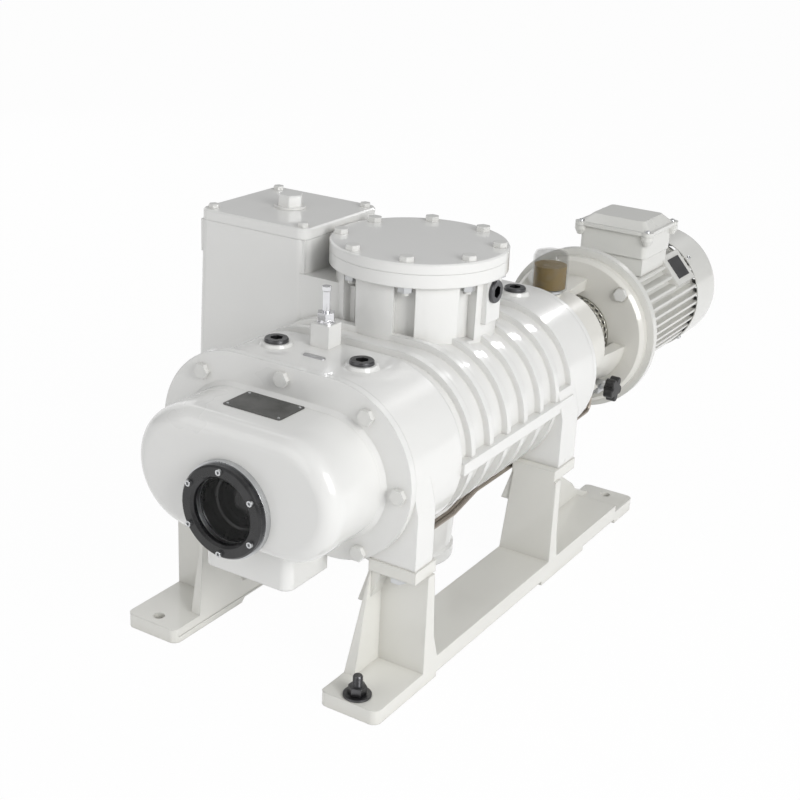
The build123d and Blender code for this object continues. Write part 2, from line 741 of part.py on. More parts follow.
rim_front = cover_front - 8.0
ring_front = rim_front - 8.0
glass_thickness = 5.0
ring_r = 54.5
sight_screw_places = around(0, sight_screw_angles, sight_screw_r, sight_z)


def sight_rim():
    """Bright spacer between the cover and the ring, with the seat of the glass."""
    rim = ring_y(0, sight_z, rim_r, sight_bore_r, rim_front, cover_front)
    rim -= disc_y(0, sight_z, glass_r + 0.1, rim_front - 1, rim_front + glass_thickness)
    for x, z in sight_screw_places:
        rim -= disc_y(x, z, 2.2, rim_front - 1, cover_front + 1)
    return rim


def sight_ring():
    """Ring that clamps the glass, chamfered outside and towards the glass."""
    ring = turned(((sight_bore_r, rim_front), (ring_r, rim_front), (ring_r, ring_front + 2),
                   (ring_r - 2, ring_front), (sight_bore_r + 3, ring_front), (sight_bore_r, ring_front + 3)),
                  0, sight_z)
    for x, z in sight_screw_places:
        ring -= disc_y(x, z, 2.2, ring_front - 1, rim_front + 1)
    return ring


def cover_plate():
    """Bare rectangular plate with rounded corners on top of the gear cover."""
    hood_top = shaft_height + cover_r
    plate = block(-42.5, 36.5, -336, -288, hood_top, hood_top + 1)
    return fillet(plate.edges().filter_by(Axis.Z), 3)


save("sight_glass_rim", sight_rim())
save("sight_glass_ring", sight_ring())
save("sight_glass", disc_y(0, sight_z, glass_r, rim_front, rim_front + glass_thickness))
save("sight_glass_screws", *[socket_screw_y(x, z, ring_front, 2.0, 3.5, 3.5, 20, -1)
                             for x, z in sight_screw_places])
save("cover_plate", cover_plate())


# Inlet blank, plugs, vent and the valve's own parts

def blank():
    """Blanking cover over the inlet flange, with a shallow turned centring step."""
    step_r = inlet_bore_r - 0.3
    disc = turned_up(((0, inlet_top - 4), (step_r, inlet_top - 4), (step_r, inlet_top),
                      (inlet_flange_r, inlet_top), (inlet_flange_r, blank_top - 2),
                      (inlet_flange_r - 2, blank_top), (0, blank_top)), 0, 0)
    for angle in inlet_angles:
        disc -= Rot(0, 0, angle) * post(inlet_pitch_r, 0, inlet_hole_d / 2, inlet_top - 1, blank_top + 1)
    return disc


def inlet_bolt(angle):
    x = inlet_pitch_r * cos(radians(angle))
    y = inlet_pitch_r * sin(radians(angle))
    return upright_bolt(x, y, blank_top, inlet_bolt_d / 2, 17, 6.4, 42)


def inlet_nut(angle):
    x = inlet_pitch_r * cos(radians(angle))
    y = inlet_pitch_r * sin(radians(angle))
    nut = Pos(x, y, flange_bottom - 8) * Rot(0, 0, angle) * extrude(hexagon(17), 8)
    return nut - post(x, y, inlet_bolt_d / 2 + 0.1, flange_bottom - 9, flange_bottom + 1)


save("inlet_blank", blank())
save("inlet_bolts", *[inlet_bolt(angle) for angle in inlet_angles])
save("inlet_nuts", *[inlet_nut(angle) for angle in inlet_angles])


def screw_plug():
    """Hexagon socket plug about the origin, its collar standing on z = 0."""
    plug = turned_up(((0, -12), (plug_r - 1, -12), (plug_r, -11), (plug_r, 0), (14.5, 0),
                      (14.5, 3), (13.5, 4.5), (0, 4.5)), 0, 0)
    return plug - extrude(hexagon(14), -8) - extrude(hexagon(14), 5)


top_plugs = [Pos(x, y, plug_seat) * screw_plug() for x, y in plug_bosses]
save("screw_plugs", *top_plugs, Pos(neck_plug_seat, 0, neck_plug_z) * Rot(0, 90, 0) * screw_plug())

vent_length = 44.0
plug_bore_r = 16.0
stem_top = box_top + 1.0
spring_base = seat_top + 42.0
spring_wire_r = 2.2
spring_mean_r = 19.5
spring_turns = 7


def vent_nipple():
    """Hexagon-shouldered nipple with a slim tapered neck."""
    tip = vent_top + vent_length
    nipple = turned_up(((0, vent_top - 15), (7, vent_top - 15), (7, vent_top), (11, vent_top),
                        (11, vent_top + 2), (4.5, vent_top + 12), (4.5, tip - 6), (5.5, tip - 5),
                        (5.5, tip), (0, tip)), vent_x, vent_y)
    return nipple + Pos(vent_x, vent_y, vent_top + 2) * extrude(hexagon(19), 11)


def valve_lid():
    """Lid of the valve box, chamfered round its top."""
    outline = RectangleRounded(box_right - box_left, box_rear - box_front, 14)
    lid = chamfer_top(Pos(valve_x, valve_y, box_top) * extrude(outline, lid_thickness), 2)
    lid -= post(valve_x, valve_y, plug_bore_r, box_top - 1, lid_top + 1)
    for x, y in lid_bolt_places:
        lid -= post(x, y, 4.5, box_top - 1, lid_top + 1)
    return lid


def valve_guide_plug():
    """Plug in the lid with a hexagon head and the blind bore that guides the stem."""
    low = box_top - 18
    guide = turned_up(((0, low), (plug_bore_r - 0.2, low), (plug_bore_r - 0.2, lid_top), (21, lid_top),
                       (21, lid_top + 3), (0, lid_top + 3)), valve_x, valve_y)
    guide += chamfer_top(Pos(valve_x, valve_y, lid_top + 3) * extrude(hexagon(30), 15), 1.5)
    return guide - post(valve_x, valve_y, stem_r + 0.3, low - 1, stem_top + valve_travel + 3)


def bypass_disc():
    """Valve disc with its spring plate and stem."""
    return turned_up(((0, seat_top - 6), (seat_hole_r - 3, seat_top - 6), (seat_hole_r - 1, seat_top),
                      (valve_disc_r, seat_top), (valve_disc_r, seat_top + 8), (20, seat_top + 11),
                      (14, seat_top + 16), (14, spring_base - 4), (24, spring_base - 4), (24, spring_base),
                      (stem_r, spring_base), (stem_r, stem_top - 1), (stem_r - 1, stem_top), (0, stem_top)),
                     valve_x, valve_y)


def valve_spring():
    """Coil spring between the disc's spring plate and the lid."""
    low = spring_base + spring_wire_r
    rise = box_top - spring_wire_r - low
    line = Helix(rise / spring_turns, rise, spring_mean_r)
    section = Plane(line @ 0, z_dir=line % 0) * Circle(spring_wire_r)
    return Pos(valve_x, valve_y, low) * sweep(section, path=line)


save("vent_nipple", vent_nipple())
save("valve_lid", valve_lid())
save("valve_lid_bolts", *[upright_bolt(x, y, lid_top, 4.0, 13, 5.3, 32) for x, y in lid_bolt_places])
save("valve_guide_plug", valve_guide_plug())
save("bypass_disc", bypass_disc())
save("valve_spring", valve_spring())


# Lantern, coupling and drain valve

oil_cup_y = 260.0
oil_cup_floor = shaft_height + lantern_ring_r + 2
drain_y = 312.0
drain_z = shaft_height - 57.0
drain_x = 122.0
lantern_bolt_seat = lantern_disc_front + 1.0


def lantern():
    """Lantern between pump and motor: ring, three arms and the motor disc."""
    body = turned(((21, rear_ring_y[1]), (bearing_outer_r - 0.1, rear_ring_y[1]),
                   (bearing_outer_r - 0.1, rear_flange_rear), (lantern_ring_r - 3, rear_flange_rear),
                   (lantern_ring_r, rear_flange_rear + 3), (lantern_ring_r, lantern_ring_rear - 8),
                   (lantern_ring_r - 8, lantern_ring_rear), (62, lantern_ring_rear), (62, 214), (36, 214),
                   (36, 262), (30.1, 262), (30.1, 250), (21, 250)), drive_x)
    body -= disc_y(drive_x, shaft_height, 31, rear_ring_y[1] - 1, rear_ring_y[1] + 4)
    disc = turned(((guard_r + 0.1, lantern_disc_front + 2), (lantern_disc_r - 5, lantern_disc_front),
                   (lantern_disc_r, lantern_disc_front + 5), (lantern_disc_r, lantern_disc_rear),
                   (guard_r + 0.1, lantern_disc_rear)), drive_x)
    body += disc
    arm = turned(((64, 285), (lantern_ring_r - 3, 285), (84, lantern_disc_front + 6),
                  (64, lantern_disc_front + 6)), 0, 0)
    wedge = make_face(Polyline((0, 0), (140, -45), (140, 45), close=True))
    arm &= along_y(wedge, 270, 370)
    for angle in (98, -22, 218):
        body += Pos(drive_x, 0, shaft_height) * Rot(0, -angle, 0) * arm
    body += post(drive_x, oil_cup_y - 4, 10, shaft_height + 33, shaft_height + 70)
    body += post(drive_x, oil_cup_y, 18, shaft_height + 66, oil_cup_floor)
    body -= disc_y(drive_x, shaft_height, 30.1, 250, 263)
    body -= post(drive_x, oil_cup_y - 4, 2.5, shaft_height + 25, shaft_height + 72)
    body -= post(drive_x, oil_cup_y, 8.1, shaft_height + 68, oil_cup_floor + 1)
    for x, z in around(drive_x, lantern_screw_angles, lantern_screw_r):
        body -= disc_y(x, z, 4.3, rear_flange_rear - 1, 215)
    for x, z in around(drive_x, (45, 135, 225, 315), 98):
        body -= disc_y(x, z, 5.2, lantern_disc_front - 1, lantern_disc_rear + 1)
        body -= disc_y(x, z, 11, lantern_disc_front - 1, lantern_bolt_seat)
    drain_boss = Pos(drive_x, 292, shaft_height) * Rot(0, 46, 0) * Pos(80, 0, 0) * Box(20, 16, 26)
    return body + drain_boss


save("lantern", lantern())


def coupling_guard():
    """Perforated sleeve around the coupling."""
    sleeve = ring_y(drive_x, shaft_height, guard_r, guard_r - 1.5, 292, 366)
    window = Box(8, 6, 20)
    for row, y in enumerate((310, 322, 334, 346)):
        for i in range(8):
            angle = 45 * i + 22.5 * (row % 2)
            hole = Pos(drive_x, y, shaft_height) * Rot(0, angle, 0) * Pos(0, 0, guard_r) * window
            sleeve -= hole
    return sleeve


save("coupling_guard", coupling_guard())


def sector(r_in, r_out, middle, half, y0, y1, x=drive_x):
    """Ring sector about the drive axis."""
    reach = r_out * 1.5
    wedge = make_face(Polyline((0, 0), (reach, -reach * tan(radians(half))),
                               (reach, reach * tan(radians(half))), close=True))
    piece = along_y((Circle(r_out) - Circle(r_in)) & wedge, y0, y1)
    return Pos(x, 0, shaft_height) * Rot(0, -middle, 0) * piece


def coupling_half(hub, jaw_span, shaft_r, phase, flange_side):
    """Jaw coupling half: hub, flange and three jaws."""
    y0, y1 = hub
    flange = (y1 - 12, y1) if flange_side > 0 else (y0, y0 + 12)
    half = ring_y(drive_x, shaft_height, 30, shaft_r, y0, y1)
    half += ring_y(drive_x, shaft_height, coupling_r, shaft_r, *flange)
    for i in range(3):
        half += sector(20, coupling_r - 0.6, phase + 120 * i, 19, *jaw_span)
    return half


pump_jaws_y = (pump_hub_y[1] - 1, motor_hub_y[0] - 1)
motor_jaws_y = (pump_hub_y[1] + 1, motor_hub_y[0] + 1)
save("pump_coupling_half", coupling_half(pump_hub_y, pump_jaws_y, drive_end_r + 0.05, 0, 1))
save("motor_coupling_half", coupling_half(motor_hub_y, motor_jaws_y, motor_shaft_r + 0.05, 60, -1))

spider_y = (pump_hub_y[1] + 0.4, motor_hub_y[0] - 0.4)
cup_r = 25.0
cup_wall = 2.0
cup_height = 61.0
oil_depth = 32.0
along_x = Rot(0, 90, 0)
drain_floor = drain_z - 9


def coupling_spider():
    """Elastic star between the coupling's jaws."""
    spider = ring_y(drive_x, shaft_height, 19, 10, *spider_y)
    for i in range(6):
        spider += sector(17, coupling_r - 1, 30 + 60 * i, 10, *spider_y)
    return spider


def oil_cup_glass():
    """Thin clear cup with a domed top and a flat floor."""
    low = oil_cup_floor + 6
    top = oil_cup_floor + cup_height
    bore = cup_r - cup_wall
    return turned_up(((22, low), (cup_r, low), (cup_r, top - 9), (22, top - 3), (12, top), (0, top),
                      (0, top - cup_wall), (11, top - cup_wall), (20.5, top - 4.5), (bore, top - 9.5),
                      (bore, low + cup_wall), (0, low + cup_wall), (0, low)), drive_x, oil_cup_y)


def oil_cup_base():
    """Stem of the cup, screwed into the lantern's boss."""
    return turned_up(((2, oil_cup_floor - 12), (8, oil_cup_floor - 12), (8, oil_cup_floor),
                      (16, oil_cup_floor), (20, oil_cup_floor + 2), (20, oil_cup_floor + 6),
                      (2, oil_cup_floor + 6)), drive_x, oil_cup_y)


def drain_valve():
    """Small valve body on the lantern, with the ends of both tubes and the knob's stem."""
    body = block(drain_x - 8, drain_x + 8, lantern_ring_rear, drain_y + 12, drain_floor, drain_z + 5)
    body += block(tube_xs[0] - 4, drain_x, lantern_ring_rear, drain_y + 12, drain_floor, drain_z)
    return body + Pos(drain_x + 13, drain_y, drain_z) * along_x * Cylinder(5, 12)


save("coupling_spider", coupling_spider())
save("oil_cup_glass", oil_cup_glass())
save("oil_cup_oil", post(drive_x, oil_cup_y, cup_r - cup_wall - 0.1,
                         oil_cup_floor + 8, oil_cup_floor + 8 + oil_depth))
save("oil_cup_base", oil_cup_base())
save("drain_valve", drain_valve())


def star_knob():
    """Five-lobed grip on the drain valve's stem."""
    outline = Circle(12)
    for i in range(5):
        outline += Rot(0, 0, 72 * i) * Pos(12, 0) * Circle(6.5)
    knob = extrude(outline, 13)
    knob = fillet(knob.faces().sort_by(Axis.Z)[-1].edges(), 2)
    knob += Pos(0, 0, -2) * Cylinder(8, 4)
    return Pos(drain_x + 19, drain_y, drain_z) * along_x * (knob - Pos(0, 0, -1) * Cylinder(5.3, 12))


save("star_knob", star_knob())



def oil_tube(x):
    """Thin tube from the drain valve forward under the casing to its boss."""
    low = tube_height - 12
    points = ((x, drain_y, drain_floor), (x, drain_y, tube_height + 5), (x, 150, tube_height),
              (x, -20, tube_height), (x, -75, low), (x, tube_end_y, low), (x, tube_end_y, tube_boss_bottom))
    route = FilletPolyline(*points, radius=10)
    section = Plane(route @ 0, z_dir=route % 0) * Circle(tube_r)
    return sweep(section, path=route)


save("oil_tubes", *[oil_tube(x) for x in tube_xs])


# Motor

def finned_profile():
    """Frame section: round barrel with parallel cooling fins on both sides and below."""
    profile = Circle(frame_r)
    for i in range(-5, 6):
        height = 13.5 * i
        reach = (fin_tip_r ** 2 - height ** 2) ** 0.5
        profile += Pos(0, height) * Rectangle(2 * reach, 4)
    for i in range(-5, 6):
        offset = 13.5 * i
        reach = (fin_tip_r ** 2 - offset ** 2) ** 0.5
        profile += Pos(offset, -reach / 2) * Rectangle(4, reach)
    return profile & Circle(fin_tip_r)


box_x = 64.0
box_y = 502.5
box_height = 36.0
box_floor = shaft_height + 97.0
box_rim = box_floor + box_height
cable_entry_r = 10.0
plate_reach = 93.0
plate_angle = 42.0


def motor_frame():
    """Finned frame with the terminal box pad and the flat for the rating plate."""
    frame = along_y(Pos(drive_x, shaft_height) * finned_profile(), motor_flange_rear, frame_rear)
    frame += block(box_x - 50, box_x + 50, box_y - 46, box_y + 46, box_floor - 27, box_floor)
    flat = block(70, plate_reach, 540, 606, -26, 26)
    frame += Pos(drive_x, 0, shaft_height) * Rot(0, -plate_angle, 0) * flat
    frame -= disc_y(drive_x, shaft_height, 76, motor_flange_rear - 1, frame_rear + 1)
    frame -= post(box_x, box_y, 14, box_floor - 47, box_floor + 1)
    return frame


def motor_plate():
    """Bare plate on the frame's upper flat."""
    plate = block(plate_reach, plate_reach + 1, 554, 594, -17, 17)
    return Pos(drive_x, 0, shaft_height) * Rot(0, -plate_angle, 0) * plate


save("motor_frame", motor_frame())
save("motor_plate", motor_plate())


def motor_shield():
    """Drive end shield with the mounting flange and the bearing seat."""
    shield = turned(((15, 366), (guard_r - 0.1, 366), (guard_r - 0.1, lantern_disc_rear),
                     (motor_flange_r, lantern_disc_rear), (motor_flange_r, motor_flange_rear - 4),
                     (motor_flange_r - 4, motor_flange_rear), (75.9, motor_flange_rear), (75.9, 394),
                     (70, 394), (66, motor_flange_rear), (32, 384), (32, 394), (26.05, 394), (26.05, 376),
                     (15, 376)), drive_x)
    for x, z in around(drive_x, (45, 135, 225, 315), 98):
        shield -= disc_y(x, z, 5.2, lantern_disc_rear - 1, motor_flange_rear + 1)
    return shield


save("motor_drive_shield", motor_shield())
save("motor_flange_bolts", *[bolt_along_y(x, z, lantern_bolt_seat, 5.0, 17, 6.4, 30, -1)
                             for x, z in around(drive_x, (45, 135, 225, 315), 98)])
save("motor_stator", ring_y(drive_x, shaft_height, 75.9, 50, 430, 575))


def motor_rotor():
    """Shaft with its rotor core."""
    return turned(((0, 331), (motor_shaft_r - 1, 331), (motor_shaft_r, 332), (motor_shaft_r, 391),
                   (17, 391), (17, 440), (49.6, 440), (49.6, 565), (17, 565), (17, 600),
                   (12, 600), (12, 664), (0, 664)), drive_x)


save("motor_rotor", motor_rotor())
save("motor_bearings", ring_y(drive_x, shaft_height, 26, motor_shaft_r + 0.3, 376, 391),
     ring_y(drive_x, shaft_height, 24, 12.3, 602, 615))

fan_blades = 7


def motor_rear_shield():
    """Fan side end shield with its bearing seat."""
    shield = turned(((13, 617), (70, 617), (70, 611), (75.9, 611), (75.9, 617), (84, 617),
                     (84, 624), (40, 627), (13, 627)), drive_x)
    shield += ring_y(drive_x, shaft_height, 30, 24.05, 602, 618)
    return shield + ring_y(drive_x, shaft_height, 25, 13, 615, 618)


def motor_fan():
    """Fan with a hub, a back plate and straight blades."""
    fan = ring_y(drive_x, shaft_height, 20, 12.05, 634, 662)
    fan += ring_y(drive_x, shaft_height, 60, 12.05, 634, 637)
    blade = block(18, 74, 636, 660, -1.5, 1.5)
    for i in range(fan_blades):
        fan += Pos(drive_x, 0, shaft_height) * Rot(0, 360 / fan_blades * i, 0) * blade
    return fan


save("motor_rear_shield", motor_rear_shield())
save("motor_fan", motor_fan())


def fan_cowl():
    """Rounded fan cowl with a slotted grille at its back."""
    outside = disc_y(drive_x, shaft_height, cowl_r, 612, cowl_rear)
    outside = fillet(outside.edges().sort_by(Axis.Y)[-1], 16)
    inside = disc_y(drive_x, shaft_height, cowl_r - 1.6, 611, cowl_rear - 1.6)
    inside = fillet(inside.edges().sort_by(Axis.Y)[-1], 14.4)
    cowl = outside - inside
    for i in range(-4, 5):
        reach = 2 * ((68 ** 2 - (14 * i) ** 2) ** 0.5)
        cowl -= Pos(drive_x, cowl_rear, shaft_height + 14 * i) * Box(reach, 8, 6)
    web = Pos(drive_x, cowl_rear - 0.8, shaft_height) * Box(8, 1.6, 130)
    cowl += web
    for i in range(4):
        lug = block(84.3, cowl_r - 1, frame_rear + 0.5, 626, -6, 6)
        cowl += Pos(drive_x, 0, shaft_height) * Rot(0, 45 + 90 * i, 0) * lug
    return cowl


save("fan_cowl", fan_cowl())

ear_places = [(box_x + 54.0 * sx, box_y + 47.5 * sy) for sx in (-1, 1) for sy in (-1, 1)]


def terminal_box():
    """Open box with a cable entry, a floor hole and an ear at each corner."""
    inner = RectangleRounded(98, 88, 5)
    box = Pos(box_x, box_y, box_floor) * extrude(RectangleRounded(108, 98, 8), box_rim - box_floor)
    box -= Pos(box_x, box_y, box_floor + 4) * extrude(inner, 60)
    box -= post(box_x, box_y, 12, box_floor - 1, box_floor + 5)
    for x, y in ear_places:
        ear = turned_up(((0, box_rim - 14), (5, box_rim - 14), (9, box_rim - 6),
                         (9, box_rim), (0, box_rim)), x, y)
        box += ear - Pos(box_x, box_y, box_rim - 20) * extrude(inner, 30)
    for x, y in ear_places:
        box -= post(x, y, 2.2, box_rim - 10, box_rim + 1)
    return box - Pos(box_x - 52, box_y, box_floor + 18) * along_x * Cylinder(cable_entry_r, 12)


def terminal_box_lid():
    """Lid with a raised, sloping crown and an ear at each corner."""
    lid = Pos(box_x, box_y, box_rim) * extrude(RectangleRounded(120, 108, 10), 6)
    for x, y in ear_places:
        lid += post(x, y, 9, box_rim, box_rim + 6)
    lid += loft([Pos(box_x, box_y, box_rim + 6) * RectangleRounded(110, 98, 8),
                 Pos(box_x, box_y, box_rim + 18) * RectangleRounded(84, 72, 6)])
    for x, y in ear_places:
        lid -= post(x, y, 4.6, box_rim + 6, box_rim + 20)
        lid -= post(x, y, 2.3, box_rim - 1, box_rim + 8)
    return lid


def foot_bolt(x, y):
    """Bolt from below through the pad into the casing's leg."""
    head = Pos(x, y, pad_bottom - 7.5) * extrude(hexagon(19), 7.5)
    return head + post(x, y, 6.0, pad_bottom, pad_top + 22)


save("terminal_box", terminal_box())
save("terminal_box_lid", terminal_box_lid())
save("foot_bolts", *[foot_bolt(side * foot_bolt_x, y) for side in (-1, 1) for y in foot_bolt_ys])
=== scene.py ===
"""Looks for a two-lobe booster vacuum pump: finishes, small fittings, studio and camera."""

import json
import logging
import math
from dataclasses import dataclass
from enum import Enum
from typing import Any, Iterable, Optional, Sequence

import bmesh
import bpy
from mathutils import Matrix, Vector

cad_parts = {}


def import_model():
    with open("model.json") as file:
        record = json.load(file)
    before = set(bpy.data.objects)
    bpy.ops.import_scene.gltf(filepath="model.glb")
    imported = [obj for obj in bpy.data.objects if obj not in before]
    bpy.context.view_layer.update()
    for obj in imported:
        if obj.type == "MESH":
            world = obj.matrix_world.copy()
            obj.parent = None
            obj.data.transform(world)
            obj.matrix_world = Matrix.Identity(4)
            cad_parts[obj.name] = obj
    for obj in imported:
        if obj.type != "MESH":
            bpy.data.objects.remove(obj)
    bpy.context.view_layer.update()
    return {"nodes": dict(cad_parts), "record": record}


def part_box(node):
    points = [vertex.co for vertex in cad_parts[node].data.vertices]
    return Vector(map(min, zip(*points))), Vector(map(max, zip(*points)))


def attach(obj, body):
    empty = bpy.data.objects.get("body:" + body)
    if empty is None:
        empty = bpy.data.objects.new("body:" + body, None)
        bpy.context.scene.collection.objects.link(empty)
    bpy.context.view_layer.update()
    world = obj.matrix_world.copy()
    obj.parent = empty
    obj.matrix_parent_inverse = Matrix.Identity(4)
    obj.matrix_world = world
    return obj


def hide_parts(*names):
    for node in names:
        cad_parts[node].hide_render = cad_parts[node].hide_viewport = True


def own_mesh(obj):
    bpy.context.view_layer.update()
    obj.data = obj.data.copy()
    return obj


log = logging.getLogger("booster_pump")

Colour = tuple[float, float, float]
Place = tuple[float, float, float]

WHITE = (1.0, 1.0, 1.0, 1.0)
HEX_SIDES = 6
HEX_CHAMFER = 0.0008
# Degrees under which the edges of a fitting are shaded smooth
FITTING_SMOOTH = 35.0


class Axis(Enum):
    """Directions that a small turned or hexagonal piece points in."""

    UP = (0.0, 0.0, 1.0)
    REAR = (0.0, 1.0, 0.0)


# Shader sockets as expressions


@dataclass(frozen=True)
class Signal:
    """An output socket that takes part in arithmetic; each operation adds a Math node."""

    web: "NodeWeb"
    socket: Any

    def _math(self, operation: str, *terms: Any) -> "Signal":
        """Join terms in one Math node.

        Args:
            operation: Name of the Math node's operation.
            terms: Signals or plain numbers, in socket order.

        Returns:
            The node's result.
        """
        values = dict(enumerate(terms))
        return self.web.node("ShaderNodeMath", {"operation": operation}, values)

    def __add__(self, other: Any) -> "Signal":
        """Sum of the two values."""
        return self._math("ADD", self, other)

    def __radd__(self, other: float) -> "Signal":
        """Sum with a plain number on the left."""
        return self._math("ADD", other, self)

    def __sub__(self, other: Any) -> "Signal":
        """Difference of the two values."""
        return self._math("SUBTRACT", self, other)

    def __rsub__(self, other: float) -> "Signal":
        """Difference from a plain number, such as 1 - mask."""
        return self._math("SUBTRACT", other, self)

    def __mul__(self, other: Any) -> "Signal":
        """Product of the two values."""
        return self._math("MULTIPLY", self, other)

    def __rmul__(self, other: float) -> "Signal":
        """Product with a plain number on the left."""
        return self._math("MULTIPLY", other, self)

    def clamped(self) -> "Signal":
        """Value held between nought and one."""
        return self._math("MINIMUM", self._math("MAXIMUM", self, 0.0), 1.0)


class NodeWeb:
    """The nodes of one material or world, with a single way to add any node."""

    def __init__(self, owner: Any) -> None:
        """Start an empty web.

        Args:
            owner: The material or world that the nodes belong to.
        """
        owner.use_nodes = True
        self.owner = owner
        self.tree = owner.node_tree
        self.tree.nodes.clear()

    @classmethod
    def for_material(cls, name: str) -> "NodeWeb":
        """Empty web of a new material."""
        return cls(bpy.data.materials.new(name))

    def node(
        self,
        kind: str,
        settings: Optional[dict[str, Any]] = None,
        values: Optional[dict[Any, Any]] = None,
        output: Any = 0,
    ) -> Signal:
        """Add one node, set it up and link it.

        Args:
            kind: The node's type name.
            settings: Attributes set first; "stops" fills a colour ramp.
            values: Socket name or number to a plain value or a Signal.
            output: Name or number of the output to hand back.

        Returns:
            The chosen output, or an empty Signal where the node has none.
        """
        made = self.tree.nodes.new(kind)
        for name, value in (settings or {}).items():
            if name == "stops":
                self._fill_ramp(made.color_ramp, value)
            else:
                setattr(made, name, value)
        for key, value in (values or {}).items():
            socket = made.inputs[key]
            if isinstance(value, Signal):
                self.tree.links.new(value.socket, socket)
            else:
                socket.default_value = value
        return Signal(self, made.outputs[output] if len(made.outputs) else None)

    @staticmethod
    def _fill_ramp(ramp: Any, stops: Sequence[tuple[float, float]]) -> None:
        """Give a ramp grey stops.

        Args:
            ramp: The colour ramp.
            stops: Pairs of place and brightness, in rising order.
        """
        while len(ramp.elements) < len(stops):
            ramp.elements.new(1.0)
        for element, (place, level) in zip(ramp.elements, stops):
            element.position = place
            element.color = (level, level, level, 1.0)

    def place(self, scale: Sequence[float]) -> Signal:
        """Object-space position in metres, stretched by a scale.

        Args:
            scale: Factor along each axis.

        Returns:
            The scaled position.
        """
        where = self.node("ShaderNodeTexCoord", output="Object")
        return self.node("ShaderNodeVectorMath", {"operation": "MULTIPLY"}, {0: where, 1: tuple(scale)})

    def noise(self, scale: float, detail: float, stretch: Sequence[float] = (1.0, 1.0, 1.0)) -> Signal:
        """Soft noise about one half.

        Args:
            scale: Features to the metre.
            detail: Octaves of finer noise.
            stretch: Factor along each axis.

        Returns:
            The noise level.
        """
        values = {"Vector": self.place(stretch), "Scale": scale, "Detail": detail, "Roughness": 0.55}
        return self.node("ShaderNodeTexNoise", {"noise_dimensions": "3D"}, values, "Fac")

    def ramp(self, level: Signal, *stops: tuple[float, float]) -> Signal:
        """Level passed through grey stops.

        Args:
            level: What is looked up.
            stops: Pairs of place and brightness.

        Returns:
            The looked-up level.
        """
        return self.node("ShaderNodeValToRGB", {"stops": stops}, {"Fac": level})

    def mix(self, factor: Signal, first: Any, second: Any) -> Signal:
        """Blend of two colours.

        Args:
            factor: Share of the second colour.
            first: Colour or Signal.
            second: Colour or Signal.

        Returns:
            The blended colour.
        """
        values = {0: factor, 6: self._rgba(first), 7: self._rgba(second)}
        return self.node("ShaderNodeMix", {"data_type": "RGBA"}, values, 2)

    @staticmethod
    def _rgba(colour: Any) -> Any:
        """Colour with an alpha, or the Signal as it is."""
        return colour if isinstance(colour, Signal) else (*colour, 1.0)

    def openness(self, radius: float) -> Signal:
        """How free the surface is of nooks, from nought to one.

        Args:
            radius: How far a joint or corner reaches, in metres.

        Returns:
            One where nothing is near.
        """
        settings = {"samples": 6, "only_local": False}
        return self.node("ShaderNodeAmbientOcclusion", settings, {"Distance": radius}, "AO")

    def bump(self, height: Signal, depth: float, strength: float, round_edge: float = 0.0) -> Signal:
        """Surface normal of a height field, over edges that look rounded.

        Args:
            height: Height from nought to one.
            depth: Height of one, in metres.
            strength: Share of the effect.
            round_edge: Radius that hard edges are shaded with, in metres.

        Returns:
            The normal.
        """
        values: dict[Any, Any] = {"Height": height, "Distance": depth, "Strength": strength}
        if round_edge > 0.0:
            values["Normal"] = self.node("ShaderNodeBevel", {"samples": 4}, {"Radius": round_edge})
        return self.node("ShaderNodeBump", values=values)

    def surface(self, **sockets: Any) -> bpy.types.Material:
        """Close the web with one principled surface.

        Args:
            sockets: Socket names, with underscores for spaces, to values or Signals.

        Returns:
            The finished material.
        """
        values = {name.replace("_", " "): value for name, value in sockets.items()}
        self.close(self.node("ShaderNodeBsdfPrincipled", values=values))
        return self.owner

    def close(self, shader: Signal, kind: str = "ShaderNodeOutputMaterial") -> None:
        """Link a shader to the web's output.

        Args:
            shader: What the surface shows.
            kind: Type name of the output node.
        """
        self.node(kind, values={"Surface": shader})


# Finishes


def shaded(colour: Colour, share: float) -> Colour:
    """Colour at a share of its brightness."""
    return tuple(channel * share for channel in colour)


@dataclass(frozen=True)
class CastPaint:
    """Gloss paint on a casting: orange peel, faint cloudiness, and painted shade darkening its nooks and
    joints.
    """

    colour: Colour
    # Colour that nooks are darkened towards, as painted shade
    dusk: Colour = (0.60, 0.58, 0.53)
    roughness: float = 0.30
    coat: float = 0.8
    sand: float = 1.0
    relief: float = 0.00018
    round_edge: float = 0.0022
    cloud_scale: float = 7.0
    cloud_shade: float = 0.93
    peel_scale: float = 420.0
    skin_scale: float = 95.0
    nook_reach: float = 0.012
    # Share of that painted shade in the nooks
    nook_dust: float = 0.42

    def build(self, name: str) -> bpy.types.Material:
        """Make the paint's material.

        Args:
            name: Name of the material.

        Returns:
            The finished material.
        """
        web = NodeWeb.for_material(name)
        cloud = web.noise(self.cloud_scale, 3.0)
        peel = web.noise(self.peel_scale, 2.0)
        skin = web.noise(self.skin_scale, 3.0)
        nook = 1.0 - web.openness(self.nook_reach)
        tint = web.mix((cloud - 0.5) * 0.5 + 0.12, self.colour, shaded(self.colour, self.cloud_shade))
        # Painted shade: the colour darkens in nooks and joints, where ambient occlusion finds close
        # surfaces
        nook_shaded = web.mix((nook * self.nook_dust).clamped(), tint, self.dusk)
        gloss = self.roughness + (cloud - 0.5) * 0.14 + nook * 0.25
        height = peel * 0.35 + skin * 0.65
        normal = web.bump(height, self.relief * self.sand, 0.5, self.round_edge)
        return web.surface(
            Base_Color=nook_shaded,
            Roughness=gloss.clamped(),
            Normal=normal,
            Coat_Weight=self.coat,
            Coat_Roughness=0.06,
        )


